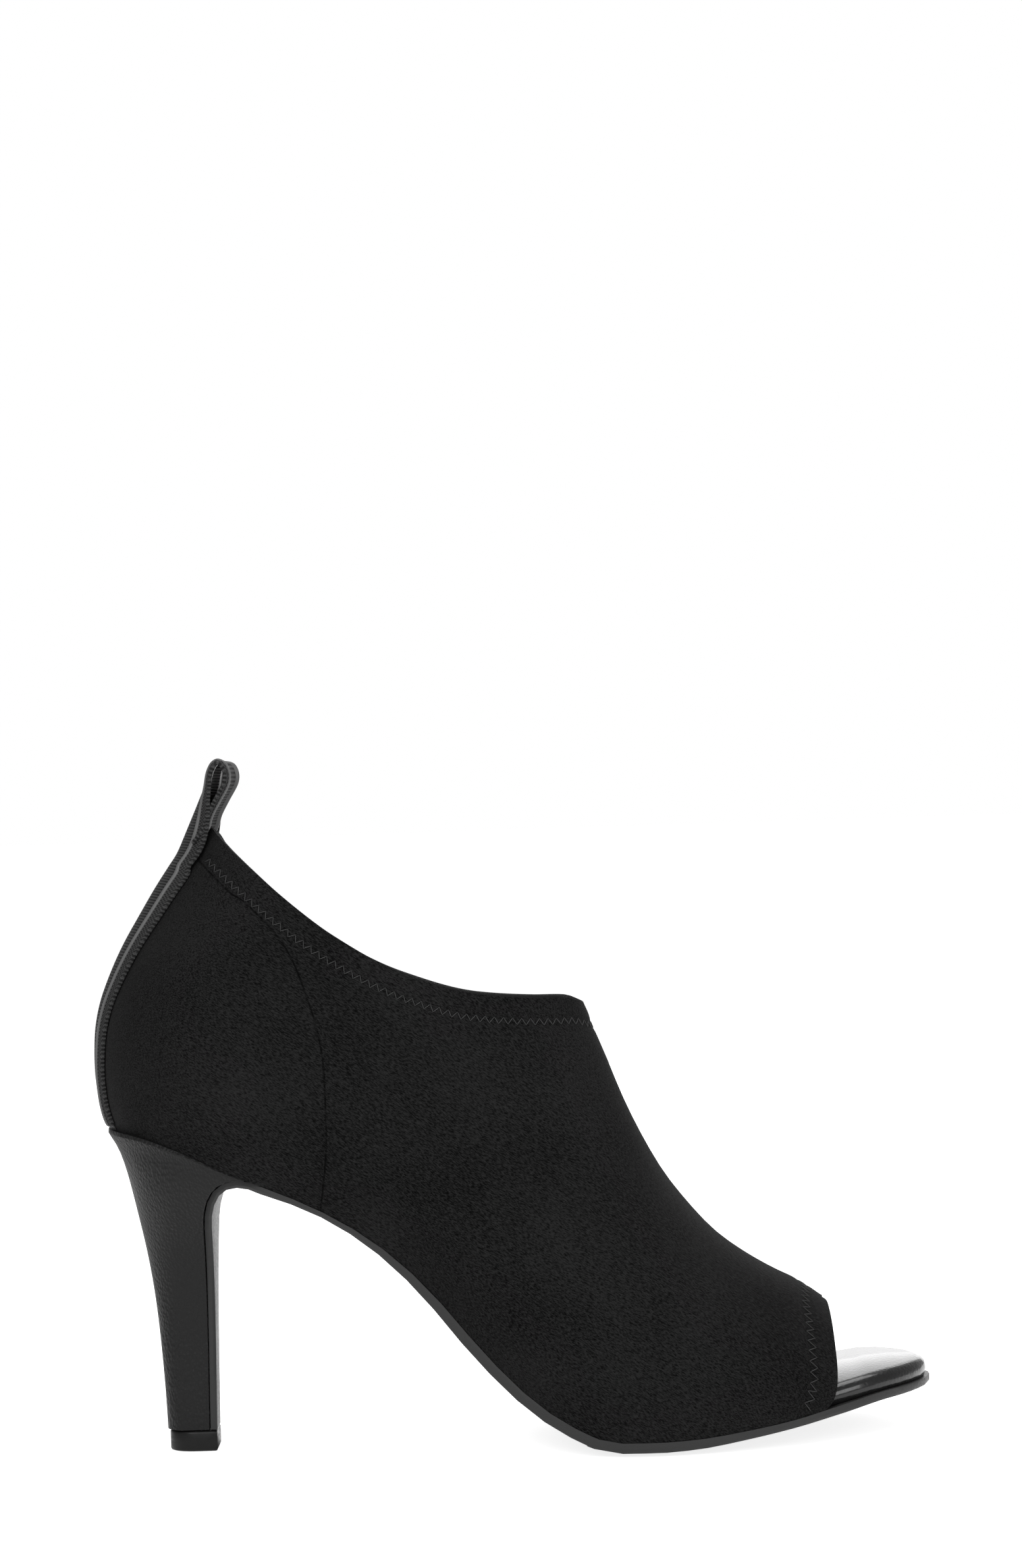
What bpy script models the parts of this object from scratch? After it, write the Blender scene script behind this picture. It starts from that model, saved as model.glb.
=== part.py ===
"""A peep toe ankle boot on a slim heel: the right shoe of a pair, built over one last shape.

X runs from heel to toe, Y from the outer side of the foot to the inner side, and Z is up.
The origin is the middle of the heel tip where it stands on the floor. Sizes are in metres.
"""

import math
from collections import namedtuple

import bmesh
import bpy
from mathutils import Vector

# Lengths and heights of the last
SOLE_LENGTH = 0.2250         # from the back of the heel seat to the tip of the toe, on the plan
TIP_SETBACK = 0.0213         # the heel tip's middle, forward of the back of the heel seat
SEAT_HEIGHT = 0.0894         # the back of the heel seat over the floor
BALL_REST = 0.0040           # the top of the outsole over the floor under the ball
TOE_SPRING = 0.0098          # how far the outsole's top rises from the ball to the toe
COLLAR_HEIGHT = 0.1712       # the back of the collar over the floor
COLLAR_LEAN = 0.0315         # the back of the collar, forward of the back of the heel seat
THROAT_HEIGHT = 0.1198       # the front of the collar over the floor
THROAT_REACH = 0.1324        # the front of the collar, forward of the back of the heel seat
PEEP_HEIGHT = 0.0360         # the top of the toe opening over the floor
PEEP_REACH = 0.1970          # the toe opening, forward of the back of the heel seat
PEEP_FOOT = 0.0042           # how far the opening's edge runs back at its foot
SHIN_LEAN = 0.10             # how far the shin leans back over the throat, for each unit of height

# Widths of the last
BALL_WIDTH = 0.0770
WAIST_WIDTH = 0.0460
SEAT_WIDTH = 0.0550
TOE_WIDTH = 0.0680
COLLAR_WIDTH = 0.0410
HEEL_ROUND = 0.0340          # the depth over which the rounded back reaches full width
TOE_ROUND = 0.0450           # the same for the rounded toe
TOE_FULLNESS = 1.9           # 2 is an ellipse, more is squarer
CREST_DRIFT = 0.0035         # how far the vamp's crest lies towards the inner side at the toe
MEDIAL_DROP = 0.0037         # how far the collar's inner side lies under its outer side

# Upper
WALL = 0.0016
HEM_WALL = 0.0024            # the wall where the edge is folded in and stitched
COLLAR_HEM = 0.0072
PEEP_HEM = 0.0068
PEEP_HEM_FOOT = 0.0081       # the toe hem starts this far over the sole
SOLE_MARGIN = 0.0003         # the sole's edge stands this far outside the upper
BACK_MARGIN = 0.0021         # the same at the back, where the tape hangs between

# Outsole
OUTSOLE_BALL = 0.0028
OUTSOLE_TAPER = 0.0005       # how far the sides run in towards the underside
FLAP_THICKNESS = 0.0018
TREAD = 0.0012               # how far the forepart's tread stands out of the outsole
TREAD_BACK = 0.1305          # forward of the back of the heel seat
TREAD_FRONT = 0.1780
TREAD_SHARE = 0.80           # the tread's width as a share of the outsole's

# Insole
INSOLE_TOE = 0.0058
INSOLE_HEEL = 0.0036
TOE_INSET = 0.0009           # how far the padded edge lies inside the outsole at the toe

# Heel
TIP_LENGTH = 0.0134
TIP_WIDTH = 0.0124
TIP_HEIGHT = 0.0056
HEEL_LIP = 0.0006            # how far the heel's foot stands out behind the tip
BREAST_SETBACK = 0.0262      # the breast, forward of the back of the heel seat
BREAST_LEAN = 0.0008         # how far the breast runs forward as it climbs
CORNER_START = 0.0440        # where the outsole starts to turn down over the breast
CORNER_END = 0.0620          # the height over the floor at which it is upright
CORNER_HANDLES = (0.0125, 0.0105)
WEDGE_END = 0.0395           # the front end of the heel's rim, over the outsole

# Tape up the back and its pull loop
TAPE_WIDTH = 0.0170
TAPE_THICKNESS = 0.0014
TAPE_FOOT = 0.0006           # the tape's foot over the heel's rim
LOOP_RISE = 0.0180           # the loop's top over the back of the collar
LAP_HEIGHT = 0.1590          # where the loop's outer strand leaves the upper
LOOP_FLATTEN = 0.6           # how much flatter the tape is in the loop than on the upper
FLATTEN_RISE = 0.0120        # the height over the lap at which it is that flat

# Clearances
CLEARANCE = 0.0003
SEAM = 0.0005                # between the outsole's top and what stands on it
INSOLE_GAP = 0.0009          # between the insole's edge and the upper's wall

# Fineness
AROUND = 40                  # columns on each side of the upper
WALL_ROWS = 8
EDGE_STEP = 0.0006           # the width of the small step at a hem
COLLAR_SHIFT = 0.75          # under 1, the upper's columns lean towards the throat as they climb
CREST_SHIFT = 1.3            # over 1, the upper's rows lie closer at the toe end of the crest

SoleRow = namedtuple("SoleRow", "along width centre")
ProfileRow = namedtuple("ProfileRow", "along rise spring thick")
BackRow = namedtuple("BackRow", "height lean")
EdgeRow = namedtuple("EdgeRow", "along drop sink")
CrestRow = namedtuple("CrestRow", "drop along")
PeepRow = namedtuple("PeepRow", "height reach")
BodyRow = namedtuple("BodyRow", "along outer inner belly ankle crown")
HeelRow = namedtuple("HeelRow", "level back height breast width round bow")
FlapRow = namedtuple("FlapRow", "along width")
LoopRow = namedtuple("LoopRow", "forward rise")
PadRow = namedtuple("PadRow", "level inset")

# The sole's outline: its width at shares of the length, and how far its middle drifts, as a share
# of the ball's width.
SOLE_OUTLINE = (
    SoleRow(0.00, 1.00 * SEAT_WIDTH, 0.000),
    SoleRow(0.17, 1.00 * SEAT_WIDTH, 0.000),
    SoleRow(0.26, 0.92 * SEAT_WIDTH, -0.010),
    SoleRow(0.37, 1.00 * WAIST_WIDTH, -0.028),
    SoleRow(0.44, 1.08 * WAIST_WIDTH, -0.042),
    SoleRow(0.52, 0.78 * BALL_WIDTH, -0.045),
    SoleRow(0.58, 0.91 * BALL_WIDTH, -0.028),
    SoleRow(0.66, 0.99 * BALL_WIDTH, -0.010),
    SoleRow(0.71, 1.00 * BALL_WIDTH, 0.000),
    SoleRow(0.80, 0.96 * BALL_WIDTH, 0.016),
    SoleRow(0.88, 1.02 * TOE_WIDTH, 0.032),
    SoleRow(1.00, 1.00 * TOE_WIDTH, 0.052),
)

# The outsole's top from the side: rise is a share of the heel's, spring a share of the toe's, and thick
# the outsole's thickness as a share of that under the ball.
SOLE_PROFILE = (
    ProfileRow(0.00, 1.000, 0.00, 0.72),
    ProfileRow(0.04, 0.985, 0.00, 0.72),
    ProfileRow(0.09, 0.944, 0.00, 0.72),
    ProfileRow(0.15, 0.872, 0.00, 0.72),
    ProfileRow(0.20, 0.816, 0.00, 0.70),
    ProfileRow(0.25, 0.757, 0.00, 0.50),
    ProfileRow(0.30, 0.682, 0.00, 0.58),
    ProfileRow(0.35, 0.583, 0.00, 0.76),
    ProfileRow(0.40, 0.450, 0.00, 0.92),
    ProfileRow(0.44, 0.324, 0.00, 1.00),
    ProfileRow(0.48, 0.208, 0.00, 1.00),
    ProfileRow(0.52, 0.114, 0.00, 1.00),
    ProfileRow(0.56, 0.048, 0.00, 1.00),
    ProfileRow(0.60, 0.004, 0.00, 1.00),
    ProfileRow(0.61, 0.000, 0.00, 1.00),
    ProfileRow(0.66, 0.000, 0.00, 1.00),
    ProfileRow(0.70, 0.000, 0.04, 0.96),
    ProfileRow(0.76, 0.000, 0.20, 0.84),
    ProfileRow(0.82, 0.000, 0.42, 0.76),
    ProfileRow(0.88, 0.000, 0.70, 0.80),
    ProfileRow(0.94, 0.000, 0.94, 0.80),
    ProfileRow(1.00, 0.000, 1.00, 0.64),
)

# The upper's back from the seat up to the collar, in shares of that height and of the collar's lean.
BACK_CURVE = (
    BackRow(0.00, 0.070),
    BackRow(0.04, 0.028),
    BackRow(0.10, -0.006),
    BackRow(0.20, -0.025),
    BackRow(0.31, -0.009),
    BackRow(0.40, 0.040),
    BackRow(0.50, 0.145),
    BackRow(0.60, 0.278),
    BackRow(0.70, 0.440),
    BackRow(0.80, 0.605),
    BackRow(0.90, 0.790),
    BackRow(1.00, 1.000),
)

# The collar from its back to its front, in shares of its length and of its fall. Sink is how far the
# inner side lies under the outer one, as a share of the named drop.
COLLAR_CURVE = (
    EdgeRow(0.000, 0.000, 0.00),
    EdgeRow(0.050, 0.102, 0.88),
    EdgeRow(0.118, 0.231, 1.00),
    EdgeRow(0.190, 0.361, 1.00),
    EdgeRow(0.330, 0.584, 0.88),
    EdgeRow(0.502, 0.782, 0.60),
    EdgeRow(0.710, 0.920, 0.36),
    EdgeRow(0.865, 0.956, 0.17),
    EdgeRow(0.950, 0.965, 0.04),
    EdgeRow(1.000, 1.000, 0.00),
)

# The crest of the vamp from the collar down to the toe opening, in shares of its fall and its length.
CREST_CURVE = (
    CrestRow(0.000, 0.000),
    CrestRow(0.044, 0.020),
    CrestRow(0.081, 0.038),
    CrestRow(0.181, 0.090),
    CrestRow(0.310, 0.153),
    CrestRow(0.433, 0.225),
    CrestRow(0.567, 0.320),
    CrestRow(0.667, 0.415),
    CrestRow(0.769, 0.532),
    CrestRow(0.837, 0.642),
    CrestRow(0.908, 0.788),
    CrestRow(0.942, 0.875),
    CrestRow(1.000, 1.000),
)

# The edge of the toe opening from its foot up, in shares of its height and of how far its foot runs back.
PEEP_CURVE = (
    PeepRow(0.00, 0.00),
    PeepRow(0.05, 0.42),
    PeepRow(0.13, 0.76),
    PeepRow(0.26, 1.00),
    PeepRow(0.45, 1.08),
    PeepRow(0.80, 1.06),
    PeepRow(1.00, 1.00),
)

# The upper's body: how far it swells past the sole's edge on each side, as shares of the ball's width,
# the height of its widest place and of the ankle as shares of the collar's height, and the depth
# of the rounded crest as a share of the ball's width.
UPPER_BODY = (
    BodyRow(0.00, 0.016, 0.016, 0.11, 0.44, 0.60),
    BodyRow(0.15, 0.020, 0.020, 0.12, 0.50, 0.60),
    BodyRow(0.27, 0.058, 0.062, 0.14, 0.48, 0.60),
    BodyRow(0.40, 0.092, 0.125, 0.15, 0.54, 0.60),
    BodyRow(0.52, 0.058, 0.090, 0.13, 0.66, 0.56),
    BodyRow(0.60, 0.030, 0.040, 0.11, 0.72, 0.46),
    BodyRow(0.68, 0.020, 0.018, 0.08, 0.76, 0.38),
    BodyRow(0.80, 0.018, 0.010, 0.06, 0.80, 0.33),
    BodyRow(1.00, 0.016, 0.012, 0.05, 0.80, 0.30),
)

# The heel from its foot up to the seat. The back, height and breast columns are shares: of the
# distance from the tip's back to the seat's back, of the height between tip and seat, and of the
# length of the breast. The width is a share of the seat's, bow of the seat's own curve.
HEEL_SECTIONS = (
    HeelRow(0.00, 0.000, 0.000, 0.000, 0.228, 0.50, 0.0),
    HeelRow(0.08, 0.026, 0.120, 0.125, 0.231, 0.50, 0.0),
    HeelRow(0.19, 0.093, 0.300, 0.310, 0.248, 0.50, 0.0),
    HeelRow(0.28, 0.150, 0.408, 0.422, 0.276, 0.52, 0.0),
    HeelRow(0.37, 0.221, 0.504, 0.514, 0.326, 0.54, 0.0),
    HeelRow(0.46, 0.314, 0.600, 0.600, 0.418, 0.58, 0.0),
    HeelRow(0.55, 0.414, 0.684, 0.679, 0.542, 0.64, 0.0),
    HeelRow(0.64, 0.521, 0.768, 0.751, 0.684, 0.74, 0.1),
    HeelRow(0.73, 0.629, 0.846, 0.825, 0.816, 0.84, 0.2),
    HeelRow(0.81, 0.750, 0.912, 0.887, 0.916, 0.94, 0.4),
    HeelRow(0.88, 0.872, 0.955, 0.940, 0.976, 1.00, 0.6),
    HeelRow(0.94, 0.975, 0.982, 0.985, 1.004, 1.00, 0.9),
    HeelRow(0.98, 1.000, 0.994, 1.000, 1.008, 1.00, 1.0),
    HeelRow(1.00, 0.978, 1.000, 1.000, 0.990, 1.00, 1.0),
)

# The flap over the breast: its width, as a share of the seat's, along its length from its foot.
FLAP_WIDTHS = (
    FlapRow(0.00, 0.215),
    FlapRow(0.30, 0.228),
    FlapRow(0.45, 0.262),
    FlapRow(0.57, 0.355),
    FlapRow(0.67, 0.490),
    FlapRow(0.76, 0.650),
    FlapRow(0.85, 0.795),
    FlapRow(0.93, 0.890),
    FlapRow(1.00, 0.940),
)

# The middle line of the loop from the lap up, over and down to its end, in shares of its rise,
# measured from the back of the collar.
LOOP_CURVE = (
    LoopRow(-0.530, -0.420),
    LoopRow(-0.375, -0.090),
    LoopRow(-0.190, 0.300),
    LoopRow(-0.045, 0.610),
    LoopRow(0.045, 0.810),
    LoopRow(0.145, 0.930),
    LoopRow(0.240, 0.840),
    LoopRow(0.205, 0.680),
    LoopRow(0.065, 0.420),
    LoopRow(-0.035, 0.180),
)
LOOP_END = 0.930             # where the inner strand ends, as a share of the upper's back


# The rounded edge of the insole, from its underside up: shares of its thickness, and how far it runs in.
PAD_EDGE = (
    PadRow(0.00, 0.0010),
    PadRow(0.14, 0.0003),
    PadRow(0.40, 0.0000),
    PadRow(0.66, 0.0003),
    PadRow(0.88, 0.0013),
    PadRow(1.00, 0.0029),
)


def table_value(table, key, column, at):
    """A column of a table at a place in its key column, through a curve that never overshoots a row."""
    keys = [getattr(row, key) for row in table]
    values = [getattr(row, column) for row in table]
    at = min(max(at, keys[0]), keys[-1])
    spans = [b - a for a, b in zip(keys, keys[1:])]
    rises = [(b - a) / span for a, b, span in zip(values, values[1:], spans)]
    slopes = [rises[0]]
    for before, after in zip(rises, rises[1:]):
        same_way = before * after > 0
        slopes.append(2 * before * after / (before + after) if same_way else 0.0)
    slopes.append(rises[-1])
    row = max(i for i in range(len(spans)) if keys[i] <= at)
    t = (at - keys[row]) / spans[row]
    start = values[row] * (1 + 2 * t) * (1 - t) ** 2 + slopes[row] * spans[row] * t * (1 - t) ** 2
    end = values[row + 1] * t * t * (3 - 2 * t) + slopes[row + 1] * spans[row] * t * t * (t - 1)
    return start + end


def blend(low, high, t):
    """From low at 0 to high at 1."""
    return low + (high - low) * t


def eased(t):
    """A soft step from 0 to 1."""
    t = min(max(t, 0.0), 1.0)
    return t * t * (3 - 2 * t)


def rounded(t, power=2.0):
    """The half width of a rounded end, t of the way along the stretch that it takes up."""
    t = min(max(t, 0.0), 1.0)
    return (1 - (1 - t) ** power) ** (1 / power)


class Track:
    """A line of points in the X-Z plane, read by the share of its length."""

    def __init__(self, points):
        self.points = [Vector((point[0], 0.0, point[-1])) for point in points]
        self.lengths = [0.0]
        for a, b in zip(self.points, self.points[1:]):
            self.lengths.append(self.lengths[-1] + (b - a).length)
        self.length = self.lengths[-1]

    def at(self, share):
        """The point at a share of the length."""
        along = min(max(share, 0.0), 1.0) * self.length
        step = max(i for i in range(len(self.points) - 1) if self.lengths[i] <= along)
        part = (along - self.lengths[step]) / (self.lengths[step + 1] - self.lengths[step])
        return self.points[step].lerp(self.points[step + 1], part)

    def offset(self, share, distance):
        """The point beside the line, to the left of its direction where the distance is positive."""
        reach = 0.01
        ahead = self.at(share + reach) - self.at(share - reach)
        ahead.normalize()
        return self.at(share) + Vector((-ahead.z, 0.0, ahead.x)) * distance

    def distance(self, x, z):
        """How far a point lies from the line."""
        point = Vector((x, 0.0, z))
        nearest = math.inf
        for a, b in zip(self.points, self.points[1:]):
            run = b - a
            part = min(max((point - a).dot(run) / run.length_squared, 0.0), 1.0)
            nearest = min(nearest, (point - a - run * part).length)
        return nearest


SEAT_BACK = -TIP_SETBACK


def along_sole(x):
    """The share of the sole's length at a place."""
    return (x - SEAT_BACK) / SOLE_LENGTH


def sole_top(x):
    """The height of the outsole's top and of the heel seat, on which upper and insole stand."""
    share = along_sole(x)
    rise = table_value(SOLE_PROFILE, "along", "rise", share) * (SEAT_HEIGHT - BALL_REST)
    return BALL_REST + rise + table_value(SOLE_PROFILE, "along", "spring", share) * TOE_SPRING


def sole_slope(x):
    """The slope of the outsole's top."""
    reach = 0.002
    return (sole_top(x + reach) - sole_top(x - reach)) / (2 * reach)


def over_sole(x, distance):
    """The height of a point that lies this far off the outsole's top, square to it."""
    return sole_top(x) + distance * math.hypot(1.0, sole_slope(x))


def sole_centre(x):
    """The middle of the sole's outline across the foot."""
    return table_value(SOLE_OUTLINE, "along", "centre", along_sole(x)) * BALL_WIDTH


def toe_closing(x, inset=0.0):
    """How the rounded toe narrows the sole towards its tip."""
    left = (SEAT_BACK + SOLE_LENGTH - inset - x) / (TOE_ROUND - inset)
    return rounded(left, TOE_FULLNESS)


def sole_half(x, side_inset=0.0, back_inset=0.0, toe_inset=0.0):
    """Half the width of the sole's outline, or of the outline this far inside it."""
    full = table_value(SOLE_OUTLINE, "along", "width", along_sole(x)) / 2 - side_inset
    back = rounded((x - SEAT_BACK - back_inset) / (HEEL_ROUND - back_inset))
    return full * back * toe_closing(x, toe_inset)


def back_line(z):
    """The upper's back edge, seen from the side, at a height."""
    base = SEAT_HEIGHT + SEAM
    share = (z - base) / (COLLAR_HEIGHT - base)
    return SEAT_BACK + table_value(BACK_CURVE, "height", "lean", share) * COLLAR_LEAN


def crest_track():
    """The crest of the vamp from the collar to the toe opening, and a little past both."""
    points = []
    steps = 48
    for i in range(steps + 1):
        drop = i / steps
        forward = table_value(CREST_CURVE, "drop", "along", drop)
        x = SEAT_BACK + blend(THROAT_REACH, PEEP_REACH, forward)
        points.append((x, blend(THROAT_HEIGHT, PEEP_HEIGHT, drop)))
    shin = (points[0][0] - SHIN_LEAN * (COLLAR_HEIGHT - THROAT_HEIGHT), COLLAR_HEIGHT)
    end, before = points[-1], points[-4]
    past = (end[0] + (end[0] - before[0]) * 3, end[1] + (end[1] - before[1]) * 3)
    return Track(points), Track([shin] + points + [past])


CREST, CREST_EXTENDED = crest_track()


def upper_centre(x, z):
    """The middle of the upper across the foot, which drifts from the sole's middle to the crest's."""
    toe_share = eased((x - SEAT_BACK - THROAT_REACH) / (PEEP_REACH - THROAT_REACH))
    crest = toe_share * CREST_DRIFT
    height = (z - sole_top(x)) / (blend(THROAT_HEIGHT, PEEP_HEIGHT, toe_share) - BALL_REST)
    return blend(sole_centre(x), crest + sole_centre(x) * toe_share, eased(height))


def upper_half(x, z, side):
    """Half the width of the upper on one side (-1 outer, 1 inner), at a place seen from the side."""
    share = along_sole(x)
    height = max(z - sole_top(x), 0.0)
    low = table_value(SOLE_OUTLINE, "along", "width", share) / 2 * toe_closing(x) - SOLE_MARGIN
    swell_column = "outer" if side < 0 else "inner"
    swell = table_value(UPPER_BODY, "along", swell_column, share) * BALL_WIDTH
    belly = table_value(UPPER_BODY, "along", "belly", share) * COLLAR_HEIGHT
    ankle = table_value(UPPER_BODY, "along", "ankle", share) * COLLAR_HEIGHT
    crown = table_value(UPPER_BODY, "along", "crown", share) * BALL_WIDTH
    body = low + swell * (1 - (1 - min(height / belly, 1.0)) ** 2)
    body = blend(body, COLLAR_WIDTH / 2, eased((height - belly) / (ankle - belly)))
    back = rounded((x - back_line(z)) / HEEL_ROUND)
    return body * back * rounded(CREST_EXTENDED.distance(x, z) / crown)


def peep_track():
    """The upper's lower edge from the back of the seat to the toe, then up the toe opening."""
    foot_x = SEAT_BACK + PEEP_REACH - PEEP_FOOT
    start_x = back_line(SEAT_HEIGHT + SEAM)
    points = []
    steps = 96
    for i in range(steps):
        x = blend(start_x, foot_x, i / steps)
        points.append((x, over_sole(x, SEAM)))
    foot_z = over_sole(foot_x, SEAM)
    rise = 24
    for i in range(rise + 1):
        share = i / rise
        reach = table_value(PEEP_CURVE, "height", "reach", share)
        points.append((foot_x + reach * PEEP_FOOT, blend(foot_z, PEEP_HEIGHT, share)))
    return Track(points)


def collar_track():
    """The collar's edge from its back to its front."""
    points = []
    steps = 60
    for i in range(steps + 1):
        share = i / steps
        drop = table_value(COLLAR_CURVE, "along", "drop", share)
        x = SEAT_BACK + blend(COLLAR_LEAN, THROAT_REACH, share)
        points.append((x, blend(COLLAR_HEIGHT, THROAT_HEIGHT, drop)))
    return Track(points)


def back_track():
    """The upper's back edge from the seat to the collar."""
    steps = 48
    base = SEAT_HEIGHT + SEAM
    heights = [blend(base, COLLAR_HEIGHT, i / steps) for i in range(steps + 1)]
    return Track([(back_line(z), z) for z in heights])


BACK = back_track()
COLLAR = collar_track()
LOWER_EDGE = peep_track()


def side_point(across, up):
    """A point of the upper seen from the side: across runs from back to crest, up from sole to collar."""
    low, high = LOWER_EDGE.at(across), COLLAR.at(across**COLLAR_SHIFT)
    left, right = BACK.at(up), CREST.at(1 - up**CREST_SHIFT)
    edges = low * (1 - up) + high * up + left * (1 - across) + right * across
    corners = LOWER_EDGE.at(0) * (1 - across) * (1 - up) + LOWER_EDGE.at(1) * across * (1 - up)
    corners += COLLAR.at(0) * (1 - across) * up + COLLAR.at(1) * across * up
    return edges - corners


def collar_sink(across):
    """How far the collar's inner side lies under its outer side, at a column of the upper."""
    along = (COLLAR.at(across**COLLAR_SHIFT).x - SEAT_BACK - COLLAR_LEAN) / (THROAT_REACH - COLLAR_LEAN)
    return MEDIAL_DROP * table_value(COLLAR_CURVE, "along", "sink", along)


def new_object(name, bm, material, smooth_angle=0.7):
    """A named object from a bmesh, shaded smooth but for its sharp edges."""
    mesh = bpy.data.meshes.new(name)
    bm.normal_update()
    bm.to_mesh(mesh)
    bm.free()
    mesh.materials.append(material)
    mesh.shade_smooth()
    mesh.set_sharp_from_angle(angle=smooth_angle)
    made = bpy.data.objects.new(name, mesh)
    bpy.context.collection.objects.link(made)
    return made


def new_material(name, colour, roughness, metallic=0.0):
    """A plain material in the piece's own colour."""
    material = bpy.data.materials.new(name)
    material.use_nodes = True
    shader = material.node_tree.nodes["Principled BSDF"]
    shader.inputs["Base Color"].default_value = (*colour, 1.0)
    shader.inputs["Roughness"].default_value = roughness
    shader.inputs["Metallic"].default_value = metallic
    return material


def skin(bm, rows, closed):
    """Faces between rows of vertices, each row a ring where closed."""
    for lower, upper in zip(rows, rows[1:]):
        count = len(lower)
        for i in range(count if closed else count - 1):
            j = (i + 1) % count
            bm.faces.new((lower[i], lower[j], upper[j], upper[i]))


def make_upper(material):
    """The stretch upper: one hollow wall, open at the collar, the peep toe and underneath."""
    bm = bmesh.new()
    thick = bm.verts.layers.deform.verify()
    shares = [(1 - math.cos(math.pi * i / AROUND)) / 2 for i in range(AROUND + 1)]
    peep_start = 1 - (PEEP_HEIGHT - sole_top(SEAT_BACK + PEEP_REACH)) / LOWER_EDGE.length
    columns = []
    for share in shares:
        samples = 24
        climb = Track([side_point(share, k / samples) for k in range(samples + 1)])
        low = [0.0, PEEP_HEM / 2, PEEP_HEM, PEEP_HEM + EDGE_STEP]
        high = [COLLAR_HEM + EDGE_STEP, COLLAR_HEM, COLLAR_HEM / 2, 0.0]
        start, end = low[-1], climb.length - high[0]
        middle = [blend(start, end, k / WALL_ROWS) for k in range(1, WALL_ROWS)]
        places = low + middle + [climb.length - gap for gap in high]
        column = []
        for row, along in enumerate(places):
            point = climb.at(along / climb.length)
            in_collar = row >= len(places) - 3
            over_foot = point.z > sole_top(point.x) + PEEP_HEM_FOOT
            in_peep = row <= 2 and share > peep_start and over_foot
            column.append((point, HEM_WALL if in_collar or in_peep else WALL))
        columns.append(column)
    ring_columns = [(i, -1) for i in range(AROUND + 1)] + [(i, 1) for i in range(AROUND - 1, 0, -1)]
    rows = []
    for row in range(len(columns[0])):
        ring = []
        for i, side in ring_columns:
            point, wall = columns[i][row]
            drop = collar_sink(shares[i]) * max(side, 0) * row / (len(columns[0]) - 1)
            half = 0.0 if i in (0, AROUND) else upper_half(point.x, point.z, side)
            y = upper_centre(point.x, point.z) + side * half
            vertex = bm.verts.new((point.x, y, point.z - drop))
            vertex[thick][0] = wall / HEM_WALL
            ring.append(vertex)
        rows.append(ring)
    skin(bm, rows, closed=True)
    upper = new_object("upper", bm, material)
    upper.vertex_groups.new(name="wall")
    solid = upper.modifiers.new("wall", "SOLIDIFY")
    solid.thickness = HEM_WALL
    solid.offset = -1.0
    solid.vertex_group = "wall"
    solid.use_rim = True
    return upper


def paired_outline(half, start, end, count, inset, centre=sole_centre):
    """Places along an outline from back to toe, each with the outer and inner edge across the foot."""
    pairs = []
    for i in range(count + 1):
        x = blend(start + inset, end - inset, (1 - math.cos(math.pi * i / count)) / 2)
        reach = half(min(max(x, start + inset), end - inset), inset)
        pairs.append((x, centre(x), reach))
    return pairs


def outline_ring(bm, pairs, height):
    """A ring of vertices round an outline: out along the outer side and back along the inner side."""
    outer = [bm.verts.new((x, centre - reach, height(x))) for x, centre, reach in pairs]
    inner = [bm.verts.new((x, centre + reach, height(x))) for x, centre, reach in pairs[1:-1]]
    return outer + inner[::-1]


def cap(bm, ring, across, facing_up):
    """Closes a ring made of an outer row and a mirrored inner row with rows of quads across the foot."""
    half = len(ring) // 2
    outer, inner = ring[1:half], ring[:half:-1]
    rows = []
    for low, high in zip(outer, inner):
        between = [bm.verts.new(low.co.lerp(high.co, k / across)) for k in range(1, across)]
        rows.append([low] + between + [high])
    faces = []
    for front, back in zip(rows, rows[1:]):
        for k in range(across):
            faces.append(bm.faces.new((front[k], back[k], back[k + 1], front[k + 1])))
    for tip, row, turned in ((ring[0], rows[0], True), (ring[half], rows[-1], False)):
        for k in range(across):
            corner = (tip, row[k], row[k + 1]) if turned else (tip, row[k + 1], row[k])
            faces.append(bm.faces.new(corner))
    if not facing_up:
        bmesh.ops.reverse_faces(bm, faces=faces)


def insole_half(x, inset):
    """Half the insole's width: inside the upper's wall, then out to the sole's edge at the toe."""
    inside = SOLE_MARGIN + WALL + INSOLE_GAP
    peep = SEAT_BACK + PEEP_REACH
    side = blend(inside, TOE_INSET, eased((x - peep) / (SOLE_LENGTH * 0.05)))
    back = BACK_MARGIN + WALL + INSOLE_GAP
    return max(sole_half(x, side + inset, back + inset, TOE_INSET + inset), 0.0)


def insole_thickness(x):
    """The insole's thickness, which grows from the seat to the padded toe."""
    return blend(INSOLE_HEEL, INSOLE_TOE, eased((along_sole(x) - 0.35) / 0.5))


def insole_height(x, level):
    """The height of a level of the insole, from 0 at its underside to 1 at its top."""
    return over_sole(x, SEAM + insole_thickness(x) * level)


def make_insole(material):
    """The padded insole: hidden in the shoe but for its rounded edge, which fills the peep toe."""
    bm = bmesh.new()
    start = SEAT_BACK + BACK_MARGIN + WALL + INSOLE_GAP
    end = SEAT_BACK + SOLE_LENGTH - TOE_INSET
    rings = []
    for row in PAD_EDGE:
        pairs = paired_outline(insole_half, start, end, 30, row.inset)
        rings.append(outline_ring(bm, pairs, lambda x: insole_height(x, row.level)))
    skin(bm, rings, closed=True)
    cap(bm, rings[0], 4, facing_up=False)
    cap(bm, rings[-1], 4, facing_up=True)
    return new_object("insole", bm, material)


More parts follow.
